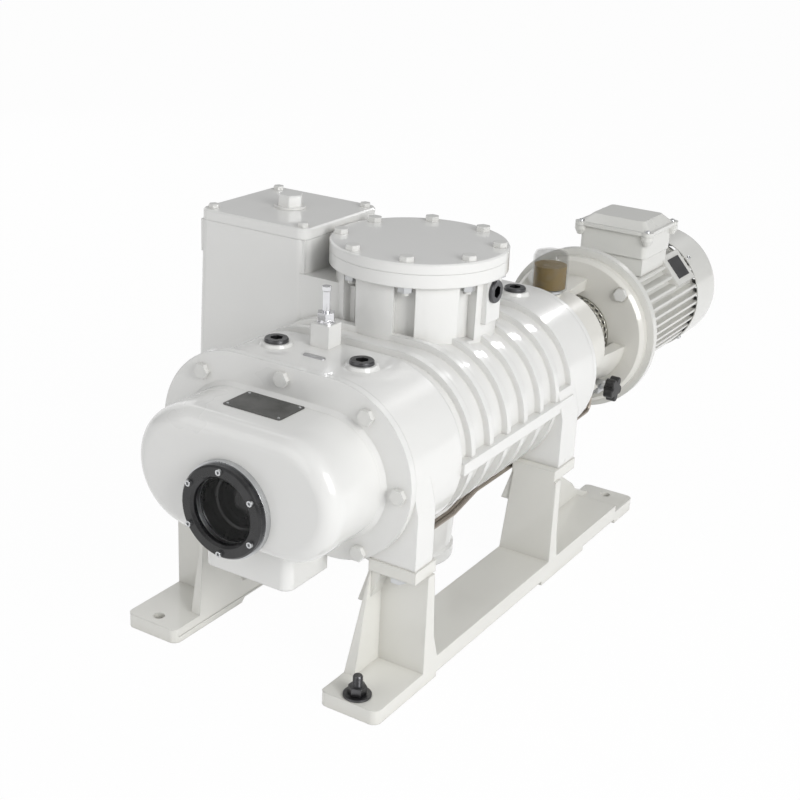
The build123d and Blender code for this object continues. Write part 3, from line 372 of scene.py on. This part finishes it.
@dataclass(frozen=True)
class TurnedMetal:
    """Bare metal with fine tool or draw lines, faint staining, and painted shade darkening its nooks."""

    colour: Colour
    roughness: float = 0.3
    lines: Sequence[float] = (1.0, 14.0, 1.0)
    stain: float = 0.25
    # Brightness share of the darker colour, used for stains and for the painted shade in nooks
    stain_shade: float = 0.62
    grain_scale: float = 240.0
    blot_scale: float = 38.0
    nook_reach: float = 0.004
    relief: float = 0.00012
    round_edge: float = 0.0006

    def build(self, name: str) -> bpy.types.Material:
        """Make the metal's material.

        Args:
            name: Name of the material.

        Returns:
            The finished material.
        """
        web = NodeWeb.for_material(name)
        grain = web.noise(self.grain_scale, 2.0, self.lines)
        blot = web.ramp(web.noise(self.blot_scale, 4.0), (0.42, 0.0), (0.72, 1.0))
        nook = 1.0 - web.openness(self.nook_reach)
        # Real stains from the blots, plus painted shade in nooks from ambient occlusion
        darkening = (blot * self.stain + nook * 0.4).clamped()
        tint = web.mix(darkening, self.colour, shaded(self.colour, self.stain_shade))
        rough = self.roughness + (grain - 0.5) * 0.18 + blot * 0.12
        normal = web.bump(grain, self.relief, 0.5, self.round_edge)
        return web.surface(Base_Color=tint, Roughness=rough.clamped(), Metallic=1.0, Normal=normal)


@dataclass(frozen=True)
class BareIron:
    """Machined grey iron, darker in its pores and cast hollows."""

    colour: Colour
    roughness: float = 0.46
    pore_scale: float = 900.0
    pore_shade: float = 0.45
    cloud_scale: float = 22.0
    relief: float = 0.00015
    round_edge: float = 0.0008

    def build(self, name: str) -> bpy.types.Material:
        """Make the iron's material.

        Args:
            name: Name of the material.

        Returns:
            The finished material.
        """
        web = NodeWeb.for_material(name)
        pore = web.ramp(web.noise(self.pore_scale, 2.0), (0.30, 0.0), (0.46, 1.0))
        cloud = web.noise(self.cloud_scale, 4.0)
        darkening = ((1.0 - pore) * 0.7 + cloud * 0.25).clamped()
        tint = web.mix(darkening, self.colour, shaded(self.colour, self.pore_shade))
        rough = self.roughness + (cloud - 0.5) * 0.2 + (1.0 - pore) * 0.2
        normal = web.bump(pore, self.relief, 0.6, self.round_edge)
        return web.surface(Base_Color=tint, Roughness=rough.clamped(), Metallic=0.85, Normal=normal)


@dataclass(frozen=True)
class DarkSkin:
    """Dark enamel, plastic or rubber with a fine moulded or rolled grain."""

    colour: Colour
    roughness: float = 0.4
    grain: float = 600.0
    depth: float = 0.0002
    metallic: float = 0.0
    coat: float = 0.0
    wear_scale: float = 60.0
    round_edge: float = 0.0006

    def build(self, name: str) -> bpy.types.Material:
        """Make the dark skin's material.

        Args:
            name: Name of the material.

        Returns:
            The finished material.
        """
        web = NodeWeb.for_material(name)
        fine = web.noise(self.grain, 2.0)
        worn = web.ramp(web.noise(self.wear_scale, 4.0), (0.45, 0.0), (0.75, 1.0))
        pale = tuple(min(1.0, channel * 1.7 + 0.02) for channel in self.colour)
        tint = web.mix(worn * 0.5, self.colour, pale)
        rough = self.roughness + (fine - 0.5) * 0.15 + worn * 0.12
        normal = web.bump(fine, self.depth, 0.5, self.round_edge)
        return web.surface(
            Base_Color=tint,
            Roughness=rough.clamped(),
            Metallic=self.metallic,
            Normal=normal,
            Coat_Weight=self.coat,
            Coat_Roughness=0.15,
        )


@dataclass(frozen=True)
class ClearBody:
    """Clear glass, clear plastic or oil, faintly uneven and smeared."""

    colour: Colour
    alpha: float
    smear: float
    roughness: float = 0.05
    coat: float = 0.4
    smear_scale: float = 70.0
    smear_shade: float = 0.8
    wave_scale: float = 30.0
    wave_depth: float = 0.0004

    def build(self, name: str) -> bpy.types.Material:
        """Make the clear body's material.

        Args:
            name: Name of the material.

        Returns:
            The finished material.
        """
        web = NodeWeb.for_material(name)
        haze = web.ramp(web.noise(self.smear_scale, 4.0), (0.45, 0.0), (0.85, 1.0))
        tint = web.mix(haze * 0.35, self.colour, shaded(self.colour, self.smear_shade))
        normal = web.bump(web.noise(self.wave_scale, 2.0), self.wave_depth, 0.35)
        return web.surface(
            Base_Color=tint,
            Roughness=(self.roughness + haze * 0.08).clamped(),
            Alpha=(self.alpha + haze * self.smear).clamped(),
            Normal=normal,
            Coat_Weight=self.coat,
            Coat_Roughness=0.03,
        )


class Finish(Enum):
    """Every finish on the pump; all but plate_brushed and bore_black are slots of the record."""

    paint_white = CastPaint((0.80, 0.80, 0.785))
    paint_support = CastPaint((0.76, 0.755, 0.715), dusk=(0.52, 0.50, 0.44), roughness=0.4)
    paint_lantern = CastPaint((0.745, 0.735, 0.69), dusk=(0.48, 0.46, 0.38))
    paint_motor = CastPaint((0.715, 0.715, 0.685), roughness=0.3, sand=0.6)
    paint_bolt = CastPaint((0.74, 0.74, 0.72), dusk=(0.42, 0.41, 0.38), round_edge=0.0009, sand=0.5)
    cast_iron_bare = BareIron((0.33, 0.33, 0.34))
    rotor_iron = BareIron((0.48, 0.48, 0.49), roughness=0.34)
    steel_bright = TurnedMetal((0.64, 0.65, 0.66), roughness=0.28)
    steel_machined = TurnedMetal((0.56, 0.56, 0.57), roughness=0.3)
    spring_steel = TurnedMetal((0.40, 0.40, 0.42), roughness=0.34)
    gear_steel = TurnedMetal((0.50, 0.50, 0.52), roughness=0.26)
    bearing_steel = TurnedMetal((0.70, 0.70, 0.72), roughness=0.16, stain=0.1)
    stator_steel = TurnedMetal((0.30, 0.28, 0.27), roughness=0.5, lines=(1.0, 60.0, 1.0))
    rotor_core = TurnedMetal((0.46, 0.45, 0.44), roughness=0.38)
    chrome = TurnedMetal((0.78, 0.78, 0.80), roughness=0.12, stain=0.12)
    guard_steel = TurnedMetal((0.60, 0.59, 0.54), roughness=0.34)
    tube_steel = TurnedMetal((0.44, 0.39, 0.34), roughness=0.34, lines=(6.0, 1.0, 6.0))
    black_oxide = TurnedMetal((0.125, 0.125, 0.13), roughness=0.30, stain=0.6)
    black_enamel = DarkSkin((0.009, 0.009, 0.010), roughness=0.28, coat=0.15)
    plate_dark = DarkSkin((0.050, 0.050, 0.052), roughness=0.40, grain=350.0, metallic=0.4)
    plate_brushed = TurnedMetal((0.17, 0.17, 0.165), roughness=0.36, lines=(3.0, 40.0, 40.0), stain=0.7)
    seal_rubber = DarkSkin((0.03, 0.03, 0.03), roughness=0.62)
    spider_rubber = DarkSkin((0.36, 0.06, 0.03), roughness=0.55)
    # Near-black finish of the sight bore liner: painted shade of the dark inside of the gear cover
    bore_black = DarkSkin((0.002, 0.002, 0.002), roughness=0.20, depth=0.00005, coat=0.1)
    black_plastic = DarkSkin((0.018, 0.018, 0.019), roughness=0.42, grain=900.0)
    # Near-black tint of the glass, painted shade that darkens the view into the bore
    sight_glass = ClearBody((0.02, 0.022, 0.02), alpha=0.10, smear=0.05)
    cup_glass = ClearBody((0.20, 0.20, 0.18), alpha=0.19, smear=0.08)
    amber_oil = ClearBody((0.28, 0.165, 0.004), alpha=0.94, smear=0.05, roughness=0.25, coat=0.0)

    @property
    def material(self) -> bpy.types.Material:
        """The finish's material, built on first use."""
        name = f"pump_{self.name}"
        found = bpy.data.materials.get(name)
        return found if found is not None else self.value.build(name)


# Mesh helpers


class MeshShop:
    """Makes the small fittings as meshes in the pump's own frame."""

    @staticmethod
    def aimed(place: Sequence[float], axis: Sequence[float], turn: float = 0.0) -> Matrix:
        """Matrix that stands a piece at a place with its own Z along a direction.

        Args:
            place: Foot of the piece, in metres.
            axis: The direction it points in.
            turn: Twist about that axis, in radians.

        Returns:
            The placing matrix.
        """
        aim = Vector((0.0, 0.0, 1.0)).rotation_difference(Vector(axis).normalized()).to_matrix().to_4x4()
        return Matrix.Translation(Vector(place)) @ aim @ Matrix.Rotation(turn, 4, "Z")

    @staticmethod
    def skin(shape: bmesh.types.BMesh, rings: Sequence[list[Any]]) -> None:
        """Join rings of vertices with faces, each ring to the next; a ring of one is a tip.

        Args:
            shape: Mesh that is added to.
            rings: The rings, in order.
        """
        for low, high in zip(rings, rings[1:]):
            count = max(len(low), len(high))
            for i in range(count):
                j = (i + 1) % count
                corners = [low[i % len(low)], low[j % len(low)], high[j % len(high)], high[i % len(high)]]
                unique = list(dict.fromkeys(corners))
                if len(unique) > 2:
                    shape.faces.new(unique)

    @classmethod
    def lathe(
        cls,
        shape: bmesh.types.BMesh,
        outline: Sequence[tuple[float, float]],
        placing: Matrix,
        steps: int,
    ) -> None:
        """Turn an outline about its own Z axis.

        Args:
            shape: Mesh that is added to.
            outline: Pairs of radius and height, from the foot up.
            placing: Where the piece stands.
            steps: Faces round the turn.
        """
        rings = []
        for radius, height in outline:
            if radius <= 0.0:
                rings.append([shape.verts.new(placing @ Vector((0.0, 0.0, height)))])
                continue
            ring = []
            for i in range(steps):
                angle = 2.0 * math.pi * i / steps
                point = Vector((radius * math.cos(angle), radius * math.sin(angle), height))
                ring.append(shape.verts.new(placing @ point))
            rings.append(ring)
        cls.skin(shape, rings)

    @classmethod
    def hexagon(
        cls,
        shape: bmesh.types.BMesh,
        across: float,
        low: float,
        high: float,
        placing: Matrix,
    ) -> None:
        """Hexagonal block with a small chamfer round both ends.

        Args:
            shape: Mesh that is added to.
            across: Width across its flats.
            low: Height of its foot.
            high: Height of its top.
            placing: Where the piece stands.
        """
        radius = across / 2.0 / math.cos(math.pi / HEX_SIDES)
        inner = radius - HEX_CHAMFER
        rise = HEX_CHAMFER * 0.6
        outline = [(0.0, low), (inner, low), (radius, low + rise)]
        outline += [(radius, high - rise), (inner, high), (0.0, high)]
        cls.lathe(shape, outline, placing, HEX_SIDES)

    @staticmethod
    def finish(name: str, shape: bmesh.types.BMesh, finish: Finish, slot: str = "") -> bpy.types.Object:
        """Turn a mesh into a named piece that rides on the frame.

        Args:
            name: Name of the piece.
            shape: The mesh; it is freed.
            finish: What it is made of.
            slot: The record's slot, where the finish has no slot of its own; not used.

        Returns:
            The piece.
        """
        bmesh.ops.recalc_face_normals(shape, faces=shape.faces)
        mesh = bpy.data.meshes.new(name)
        shape.to_mesh(mesh)
        shape.free()
        mesh.shade_smooth()
        mesh.set_sharp_from_angle(angle=math.radians(FITTING_SMOOTH))
        mesh.materials.append(finish.material)
        piece = bpy.data.objects.new(name, mesh)
        bpy.context.scene.collection.objects.link(piece)
        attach(piece, "frame")
        log.info("%s: %d faces, %s", name, len(mesh.polygons), finish.name)
        return piece


# Sub-assemblies


@dataclass
class PackedPump:
    """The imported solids, which keep their shape and get their finishes."""

    nodes: dict[str, bpy.types.Object]
    record: dict[str, Any]
    smooth_angle: float = 28.0
    brushed: tuple[str, ...] = ("cover_plate",)

    def dress(self) -> None:
        """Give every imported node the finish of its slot, or its brushed form, and smooth shading."""
        slots = {part["node"]: part["material_slot"] for part in self.record["subparts"]}
        for name, node in self.nodes.items():
            finish = Finish.plate_brushed if name in self.brushed else Finish[slots[name]]
            node.data.materials.clear()
            node.data.materials.append(finish.material)
            node.data.shade_smooth()
            node.data.set_sharp_from_angle(angle=math.radians(self.smooth_angle))
            log.info("%s: packed, %s", name, finish.name)


@dataclass
class AnchorBolt:
    """Black anchor bolt with nut and washer in the right front foot hole."""

    place: Place
    turn: float = 0.4
    washer_radius: float = 0.0165
    washer_thickness: float = 0.003
    washer_edge: float = 0.0005
    washer_low_ease: float = 0.0004
    washer_high_ease: float = 0.0006
    washer_steps: int = 40
    nut_across: float = 0.019
    nut_height: float = 0.010
    stud_radius: float = 0.0058
    stud_foot: float = -0.012
    stud_top: float = 0.026
    stud_steps: int = 24
    stud_ease: float = 0.001
    threads: int = 9
    thread_depth: float = 0.0006

    def build(self) -> None:
        """Make washer, nut and stud as one piece."""
        shape = bmesh.new()
        standing = MeshShop.aimed(self.place, Axis.UP.value, self.turn)
        MeshShop.lathe(shape, self._washer(), standing, self.washer_steps)
        top = self.washer_thickness
        MeshShop.hexagon(shape, self.nut_across, top, top + self.nut_height, standing)
        MeshShop.lathe(shape, self._stud(top + self.nut_height), standing, self.stud_steps)
        MeshShop.finish("anchor_bolt", shape, Finish.black_oxide)

    def _washer(self) -> list[tuple[float, float]]:
        """Outline of the washer, its edges broken a little."""
        bore, radius = self.stud_radius, self.washer_radius
        top, edge = self.washer_thickness, self.washer_edge
        outline = [(bore, 0.0), (radius - self.washer_low_ease, 0.0), (radius, edge)]
        outline += [(radius, top - edge), (radius - self.washer_high_ease, top), (bore, top)]
        return outline

    def _stud(self, start: float) -> list[tuple[float, float]]:
        """Outline of the stud.

        Args:
            start: Height at which its bare thread begins.

        Returns:
            Pairs of radius and height.
        """
        outline = [(0.0, self.stud_foot), (self.stud_radius, self.stud_foot)]
        for i in range(self.threads):
            height = start + (self.stud_top - start) * i / self.threads
            outline.append((self.stud_radius, height))
            outline.append((self.stud_radius - self.thread_depth, height + self.thread_depth))
        outline += [(self.stud_radius - self.stud_ease, self.stud_top), (0.0, self.stud_top)]
        return outline


@dataclass
class PerforatedGuard:
    """Perforated sleeve round the coupling, which stands for the plainer packed one."""

    centre: Place
    radius: float
    front: float
    rear: float
    thickness: float = 0.0013
    hole: float = 0.0072
    hole_sides: int = 8
    rows: int = 7
    columns: int = 34
    weld: float = 1e-6

    def build(self) -> None:
        """Make the sleeve from cells, each with an octagonal hole."""
        shape = bmesh.new()
        pitch = (self.rear - self.front) / self.rows
        for row in range(self.rows):
            for column in range(self.columns):
                self._cell(shape, self.front + pitch * row, pitch, column + 0.5 * (row % 2))
        bmesh.ops.remove_doubles(shape, verts=shape.verts, dist=self.weld)
        piece = MeshShop.finish("coupling_guard_sheet", shape, Finish.guard_steel)
        sheet = piece.modifiers.new("sheet", "SOLIDIFY")
        sheet.thickness = self.thickness
        sheet.offset = 1.0
        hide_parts("coupling_guard")

    def _point(self, along: float, around: float) -> Vector:
        """Point of the sleeve.

        Args:
            along: Station on the sleeve's axis.
            around: Length of arc from the right.

        Returns:
            The point.
        """
        angle = around / self.radius
        x = self.centre[0] + self.radius * math.cos(angle)
        z = self.centre[2] + self.radius * math.sin(angle)
        return Vector((x, along, z))

    def _cell(self, shape: bmesh.types.BMesh, start: float, pitch: float, column: float) -> None:
        """Add one cell with its hole.

        Args:
            shape: Mesh that is added to.
            start: Front edge of the cell.
            pitch: Length of the cell along the axis.
            column: Number of the cell round the sleeve.
        """
        width = 2.0 * math.pi * self.radius / self.columns
        middle_y = start + pitch / 2.0
        middle_a = column * width
        rim, edge = [], []
        for i in range(self.hole_sides):
            angle = 2.0 * math.pi / self.hole_sides * i
            rim_y = middle_y + self.hole / 2.0 * math.sin(angle)
            rim_a = middle_a + self.hole / 2.0 * math.cos(angle)
            rim.append(shape.verts.new(self._point(rim_y, rim_a)))
            reach = 1.0 / max(abs(math.cos(angle)), abs(math.sin(angle)))
            edge_y = middle_y + pitch / 2.0 * math.sin(angle) * reach
            edge_a = middle_a + width / 2.0 * math.cos(angle) * reach
            edge.append(shape.verts.new(self._point(edge_y, edge_a)))
        for i in range(self.hole_sides):
            j = (i + 1) % self.hole_sides
            shape.faces.new((rim[i], rim[j], edge[j], edge[i]))


@dataclass
class SmallScrews:
    """Cap screws or rivets, each at a place and pointing its own way, made as one piece."""

    name: str
    places: Sequence[Sequence[float]]
    axes: Sequence[Sequence[float]]
    head_radius: float
    head_height: float
    recess: bool = True
    foot: float = -0.001
    turn_step: float = 0.5
    steps: int = 20

    def build(self) -> None:
        """Make the screws, with a recess in each head unless they are rivets."""
        shape = bmesh.new()
        outline = self._head()
        for i, (place, axis) in enumerate(zip(self.places, self.axes)):
            standing = MeshShop.aimed(place, axis, self.turn_step * i)
            MeshShop.lathe(shape, outline, standing, self.steps)
        MeshShop.finish(self.name, shape, Finish.steel_bright)

    def _head(self) -> list[tuple[float, float]]:
        """Outline of one head, from its foot to its middle."""
        r, h = self.head_radius, self.head_height
        crown = [(0.0, self.foot), (r, self.foot), (r, h * 0.35), (r * 0.8, h * 0.8), (r * 0.45, h)]
        if self.recess:
            return crown + [(r * 0.30, h), (r * 0.22, h * 0.35), (0.0, h * 0.3)]
        return crown + [(0.0, h * 1.06)]


@dataclass
class HexFittings:
    """Hexagon nuts with a washer face, each round a screw, tube or stem."""

    name: str
    places: Sequence[Sequence[float]]
    across: float
    height: float
    bore: float
    face_share: float = 0.48
    face_height: float = 0.15
    hexagon_foot: float = 0.12
    turn_step: float = 0.3
    steps: int = 24

    def build(self) -> None:
        """Make the nuts as one piece."""
        shape = bmesh.new()
        face_radius = self.across * self.face_share
        collar = [(self.bore, 0.0), (face_radius, 0.0), (face_radius, self.height * self.face_height)]
        for i, place in enumerate(self.places):
            standing = MeshShop.aimed(place, Axis.UP.value, self.turn_step * i)
            MeshShop.lathe(shape, collar, standing, self.steps)
            MeshShop.hexagon(shape, self.across, self.height * self.hexagon_foot, self.height, standing)
        MeshShop.finish(self.name, shape, Finish.steel_bright)


@dataclass
class SightBore:
    """Dark tapering liner behind the sight glass that paints the shade inside the gear cover, closed by a
    cone that traps the light.
    """

    centre: tuple[float, float]
    mouth_y: float
    depth: float = 0.027
    mouth_radius: float = 0.0386
    throat_radius: float = 0.0300
    lip: float = 0.0012
    bevel_reach: float = 0.0022
    bevel_depth: float = 0.0016
    neck_ease: float = 0.003
    neck_share: float = 0.7
    throat_share: float = 0.74
    cone_ease: float = 0.002
    cone_share: float = 0.62
    wall: float = 0.001
    steps: int = 64

    def build(self) -> None:
        """Make the liner and its closing cone as one piece."""
        shape = bmesh.new()
        place = (self.centre[0], self.mouth_y, self.centre[1])
        standing = MeshShop.aimed(place, Axis.REAR.value)
        MeshShop.lathe(shape, self._outline(), standing, self.steps)
        # The liner is a near-black sheet of painted shade set inside the white bore
        MeshShop.finish("sight_bore_liner", shape, Finish.bore_black, slot=Finish.black_enamel.name)

    def _outline(self) -> list[tuple[float, float]]:
        """Outline of the liner: lip, bevel, taper, cone, and back along the outside."""
        r, t, d = self.mouth_radius, self.throat_radius, self.depth
        foot, back, tip = t - self.cone_ease, d + self.wall, d * self.cone_share
        outline = [(r, 0.0), (r - self.lip, 0.0), (r - self.bevel_reach, self.bevel_depth)]
        outline += [(t + self.neck_ease, d * self.neck_share), (t, d * self.throat_share)]
        outline += [(foot, d), (0.0, tip), (0.0, tip + self.wall), (foot, back), (r, back), (r, 0.0)]
        return outline


@dataclass
class RaisedStrip:
    """Low bar with rounded ends that stands on a flat of the casing."""

    centre: Place
    length: float = 0.030
    width: float = 0.008
    height: float = 0.0016
    sink: float = 0.0004
    edge: float = 0.0007
    steps: int = 24

    def build(self) -> None:
        """Make the bar with a sloping edge."""
        shape = bmesh.new()
        x, y, z = self.centre
        half = (self.length - self.width) / 2.0
        rings = []
        for shrink, rise in ((0.0, -self.sink), (0.0, self.height * 0.5), (self.edge, self.height)):
            ring = []
            radius = self.width / 2.0 - shrink
            for i in range(self.steps):
                angle = 2.0 * math.pi * i / self.steps
                offset = half if math.cos(angle) >= 0.0 else -half
                point = (x + offset + radius * math.cos(angle), y + radius * math.sin(angle), z + rise)
                ring.append(shape.verts.new(point))
            rings.append(ring)
        MeshShop.skin(shape, rings)
        shape.faces.new(rings[-1])
        MeshShop.finish("casing_strip", shape, Finish.steel_machined)


@dataclass
class ValveSpring:
    """Coil spring over the bypass disc, which shortens towards the lid as the disc lifts; here the coil is
    made at one fixed length.
    """

    wire_radius: float = 0.0022
    turns: int = 7
    joint: str = "bypass_lift"
    lift: float = 0.025
    steps: int = 36
    sides: int = 12

    def build(self) -> None:
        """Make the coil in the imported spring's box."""
        low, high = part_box("valve_spring")
        middle = (low + high) / 2.0
        coil_radius = (high.x - low.x) / 2.0 - self.wire_radius
        start, rise = low.z + self.wire_radius, high.z - low.z - 2.0 * self.wire_radius
        shape = bmesh.new()
        rings = []
        count = self.turns * self.steps
        slope = rise / (2.0 * math.pi * coil_radius * self.turns)
        for i in range(count + 1):
            angle = 2.0 * math.pi * i / self.steps
            out = Vector((math.cos(angle), math.sin(angle), 0.0))
            along = Vector((-math.sin(angle), math.cos(angle), slope)).normalized()
            centre = Vector((middle.x, middle.y, start + rise * i / count)) + out * coil_radius
            rings.append(self._ring(shape, centre, out, along.cross(out)))
        MeshShop.skin(shape, rings)
        shape.faces.new(rings[0])
        shape.faces.new(rings[-1])
        coil = MeshShop.finish("valve_spring_coil", shape, Finish.spring_steel)
        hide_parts("valve_spring")
        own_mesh(coil)

    def _ring(self, shape: bmesh.types.BMesh, centre: Vector, out: Vector, up: Vector) -> list[Any]:
        """Add one ring of the wire's section.

        Args:
            shape: Mesh that is added to.
            centre: Middle of the wire.
            out: Direction away from the coil's axis.
            up: Direction across the wire and out.

        Returns:
            The ring's vertices.
        """
        ring = []
        for i in range(self.sides):
            angle = 2.0 * math.pi * i / self.sides
            offset = (out * math.cos(angle) + up * math.sin(angle)) * self.wire_radius
            ring.append(shape.verts.new(centre + offset))
        return ring


@dataclass
class SmallFittings:
    """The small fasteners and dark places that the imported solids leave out."""

    anchor: Place = (0.1455, -0.330, 0.018)
    strip: Place = (0.0, -0.222, 0.357)
    guard_inset: float = 0.0015
    bore_gap: float = 0.0012
    rivet_inset: float = 0.0045
    rivet_radius: float = 0.0016
    rivet_height: float = 0.0008
    lid_screw_x: float = 0.054
    lid_screw_y: float = 0.0475
    lid_screw_rise: float = 0.006
    lid_screw_radius: float = 0.0040
    lid_screw_height: float = 0.0030
    cowl_screw_back: float = 0.0095
    cowl_screw_radius: float = 0.0036
    cowl_screw_height: float = 0.0026
    tube_radius: float = 0.0028
    top_nut_drop: float = 0.0092
    end_nut_rise: float = 0.0165
    nut_across: float = 0.0062
    nut_height: float = 0.0085

    def build(self) -> None:
        """Make every small fitting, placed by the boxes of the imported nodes."""
        AnchorBolt(self.anchor).build()
        self._guard()
        self._sight_bore()
        self._cover_plate_rivets()
        self._terminal_screws()
        self._cowl_screws()
        self._tube_nuts()
        RaisedStrip(self.strip).build()

    def _guard(self) -> None:
        """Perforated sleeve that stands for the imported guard."""
        low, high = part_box("coupling_guard")
        middle = (low + high) / 2.0
        radius = (high.x - low.x) / 2.0 - self.guard_inset
        PerforatedGuard(tuple(middle), radius, low.y, high.y).build()

    def _sight_bore(self) -> None:
        """Dark liner in the gear cover's bore behind the glass, painting the shade inside the cover."""
        low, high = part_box("sight_glass")
        centre = ((low.x + high.x) / 2.0, (low.z + high.z) / 2.0)
        SightBore(centre, high.y + self.bore_gap).build()

    def _cover_plate_rivets(self) -> None:
        """Four small rivets near the corners of the gear cover's bare plate."""
        low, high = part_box("cover_plate")
        across = (low.x + self.rivet_inset, high.x - self.rivet_inset)
        along = (low.y + self.rivet_inset, high.y - self.rivet_inset)
        places = [(x, y, high.z) for x in across for y in along]
        ups = [Axis.UP.value] * len(places)
        head = (self.rivet_radius, self.rivet_height)
        SmallScrews("cover_plate_rivets", places, ups, *head, recess=False).build()

    def _terminal_screws(self) -> None:
        """Four screws in the ears of the terminal box lid."""
        low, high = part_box("terminal_box_lid")
        middle = (low + high) / 2.0
        foot = low.z + self.lid_screw_rise
        places = []
        for side in (-1, 1):
            for end in (-1, 1):
                x = middle.x + side * self.lid_screw_x
                places.append((x, middle.y + end * self.lid_screw_y, foot))
        ups = [Axis.UP.value] * len(places)
        head = (self.lid_screw_radius, self.lid_screw_height)
        SmallScrews("terminal_lid_screws", places, ups, *head).build()

    def _cowl_screws(self) -> None:
        """Four screws through the rim of the fan cowl."""
        low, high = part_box("fan_cowl")
        middle = (low + high) / 2.0
        radius = (high.x - low.x) / 2.0
        axes, places = [], []
        for quarter in range(4):
            angle = math.radians(45.0 + 90.0 * quarter)
            axis = (math.cos(angle), 0.0, math.sin(angle))
            axes.append(axis)
            station = low.y + self.cowl_screw_back
            places.append((middle.x + radius * axis[0], station, middle.z + radius * axis[2]))
        head = (self.cowl_screw_radius, self.cowl_screw_height)
        SmallScrews("cowl_screws", places, axes, *head).build()

    def _tube_nuts(self) -> None:
        """Union nuts where the two thin tubes leave the drain valve and reach the casing."""
        low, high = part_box("oil_tubes")
        radius = self.tube_radius
        sides = (low.x + radius, high.x - radius)
        starts = [(x, high.y - radius, high.z - self.top_nut_drop) for x in sides]
        ends = [(x, low.y + radius, low.z + self.end_nut_rise) for x in sides]
        size = (self.nut_across, self.nut_height, radius)
        HexFittings("tube_nuts", starts + ends, *size).build()


# Studio


@dataclass(frozen=True)
class Lamp:
    """Square soft lamp of the studio."""

    name: str
    place: Place
    size: float
    power: float

    def build(self, target: Place) -> None:
        """Make the lamp and turn it to a target.

        Args:
            target: The point that it looks at.
        """
        light = bpy.data.lights.new(self.name, "AREA")
        light.shape = "SQUARE"
        light.size = self.size
        light.energy = self.power
        lamp = bpy.data.objects.new(self.name, light)
        lamp.location = self.place
        aim = Vector(target) - Vector(self.place)
        lamp.rotation_euler = aim.to_track_quat("-Z", "Y").to_euler()
        bpy.context.scene.collection.objects.link(lamp)
        log.info("%s: lamp of %.1f W", self.name, self.power)


@dataclass
class Studio:
    """Pale floor, white surround, soft lamps and the camera of the photograph."""

    lamps: tuple[Lamp, ...] = (
        Lamp("key", (2.6, -0.9, 1.5), 1.5, 55.0),
        Lamp("fill", (-0.9, -2.6, 1.4), 2.2, 14.0),
        Lamp("top", (-1.2, 0.3, 2.5), 0.7, 1.5),
        Lamp("rim", (0.5, 2.9, 2.1), 0.34, 9.0),
        Lamp("left", (-2.6, 1.0, 1.3), 2.2, 12.0),
    )
    lamp_target: Place = (0.0, 0.1, 0.25)
    world_level: float = 0.39
    floor_reach: float = 9.0
    floor_pale: Colour = (0.93, 0.93, 0.93)
    floor_cloud: Colour = (0.90, 0.90, 0.90)
    floor_white: float = 0.97
    eye: Place = (0.8794, -1.4704, 0.9090)
    azimuth: float = 31.40
    pitch: float = 21.49
    roll: float = 2.71
    lens: float = 63.77
    sensor: float = 36.0

    def build(self) -> None:
        """Make the floor, the world, the lamps and the camera."""
        self._floor()
        self._world()
        for lamp in self.lamps:
            lamp.build(self.lamp_target)
        self._camera()
        bpy.context.scene.view_settings.view_transform = "Standard"

    def _floor(self) -> None:
        """Pale floor that is white to the camera and still takes the pump's shadow."""
        shape = bmesh.new()
        bmesh.ops.create_grid(shape, x_segments=1, y_segments=1, size=self.floor_reach)
        mesh = bpy.data.meshes.new("floor")
        shape.to_mesh(mesh)
        shape.free()
        floor = bpy.data.objects.new("floor", mesh)
        bpy.context.scene.collection.objects.link(floor)
        web = NodeWeb.for_material("studio_floor")
        cloud = web.noise(2.0, 2.0)
        tint = web.mix(cloud * 0.2, self.floor_pale, self.floor_cloud)
        pale = web.node("ShaderNodeBsdfPrincipled", values={"Base Color": tint, "Roughness": 0.9})
        white = web.node("ShaderNodeEmission", values={"Color": WHITE, "Strength": 1.0})
        seen = self._seen(web)
        shade = web.node("ShaderNodeMixShader", values={0: seen * self.floor_white, 1: pale, 2: white})
        web.close(shade)
        mesh.materials.append(web.owner)
        log.info("floor: %.0f m across", 2.0 * self.floor_reach)

    @staticmethod
    def _seen(web: NodeWeb) -> Signal:
        """Tell the rays that look at the background straight, mirrored or through glass.

        Args:
            web: The web that the nodes are added to.

        Returns:
            One for such rays, nought for all others.
        """
        kinds = ("Is Camera Ray", "Is Glossy Ray", "Is Transmission Ray")
        looks = [web.node("ShaderNodeLightPath", output=kind) for kind in kinds]
        return (looks[0] + looks[1] + looks[2]).clamped()

    def _world(self) -> None:
        """White surround to the eye, softer as a light."""
        world = bpy.data.worlds.new("studio")
        bpy.context.scene.world = world
        web = NodeWeb(world)
        seen = web.node("ShaderNodeLightPath", output="Is Camera Ray")
        soft = web.node("ShaderNodeBackground", values={"Color": WHITE, "Strength": self.world_level})
        white = web.node("ShaderNodeBackground", values={"Color": WHITE, "Strength": 1.0})
        both = web.node("ShaderNodeMixShader", values={0: seen, 1: soft, 2: white})
        web.close(both, "ShaderNodeOutputWorld")

    def _camera(self) -> None:
        """Camera at the photograph's place, angle and framing."""
        azimuth, pitch, roll = (math.radians(angle) for angle in (self.azimuth, self.pitch, self.roll))
        level = math.cos(pitch)
        look = Vector((-math.sin(azimuth) * level, math.cos(azimuth) * level, -math.sin(pitch)))
        data = bpy.data.cameras.new("camera")
        data.sensor_width = self.sensor
        data.lens = self.lens
        camera = bpy.data.objects.new("camera", data)
        facing = look.to_track_quat("-Z", "Y").to_matrix().to_4x4()
        camera.matrix_world = Matrix.Translation(Vector(self.eye)) @ facing @ Matrix.Rotation(roll, 4, "Z")
        bpy.context.scene.collection.objects.link(camera)
        bpy.context.scene.camera = camera
        log.info("camera: lens of %.2f mm", self.lens)


def main() -> None:
    """Build the pump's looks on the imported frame."""
    logging.basicConfig(level=logging.INFO, format="%(name)s %(message)s")
    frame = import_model()
    PackedPump(frame["nodes"], frame["record"]).dress()
    ValveSpring().build()
    SmallFittings().build()
    Studio().build()


if __name__ == "__main__":
    main()
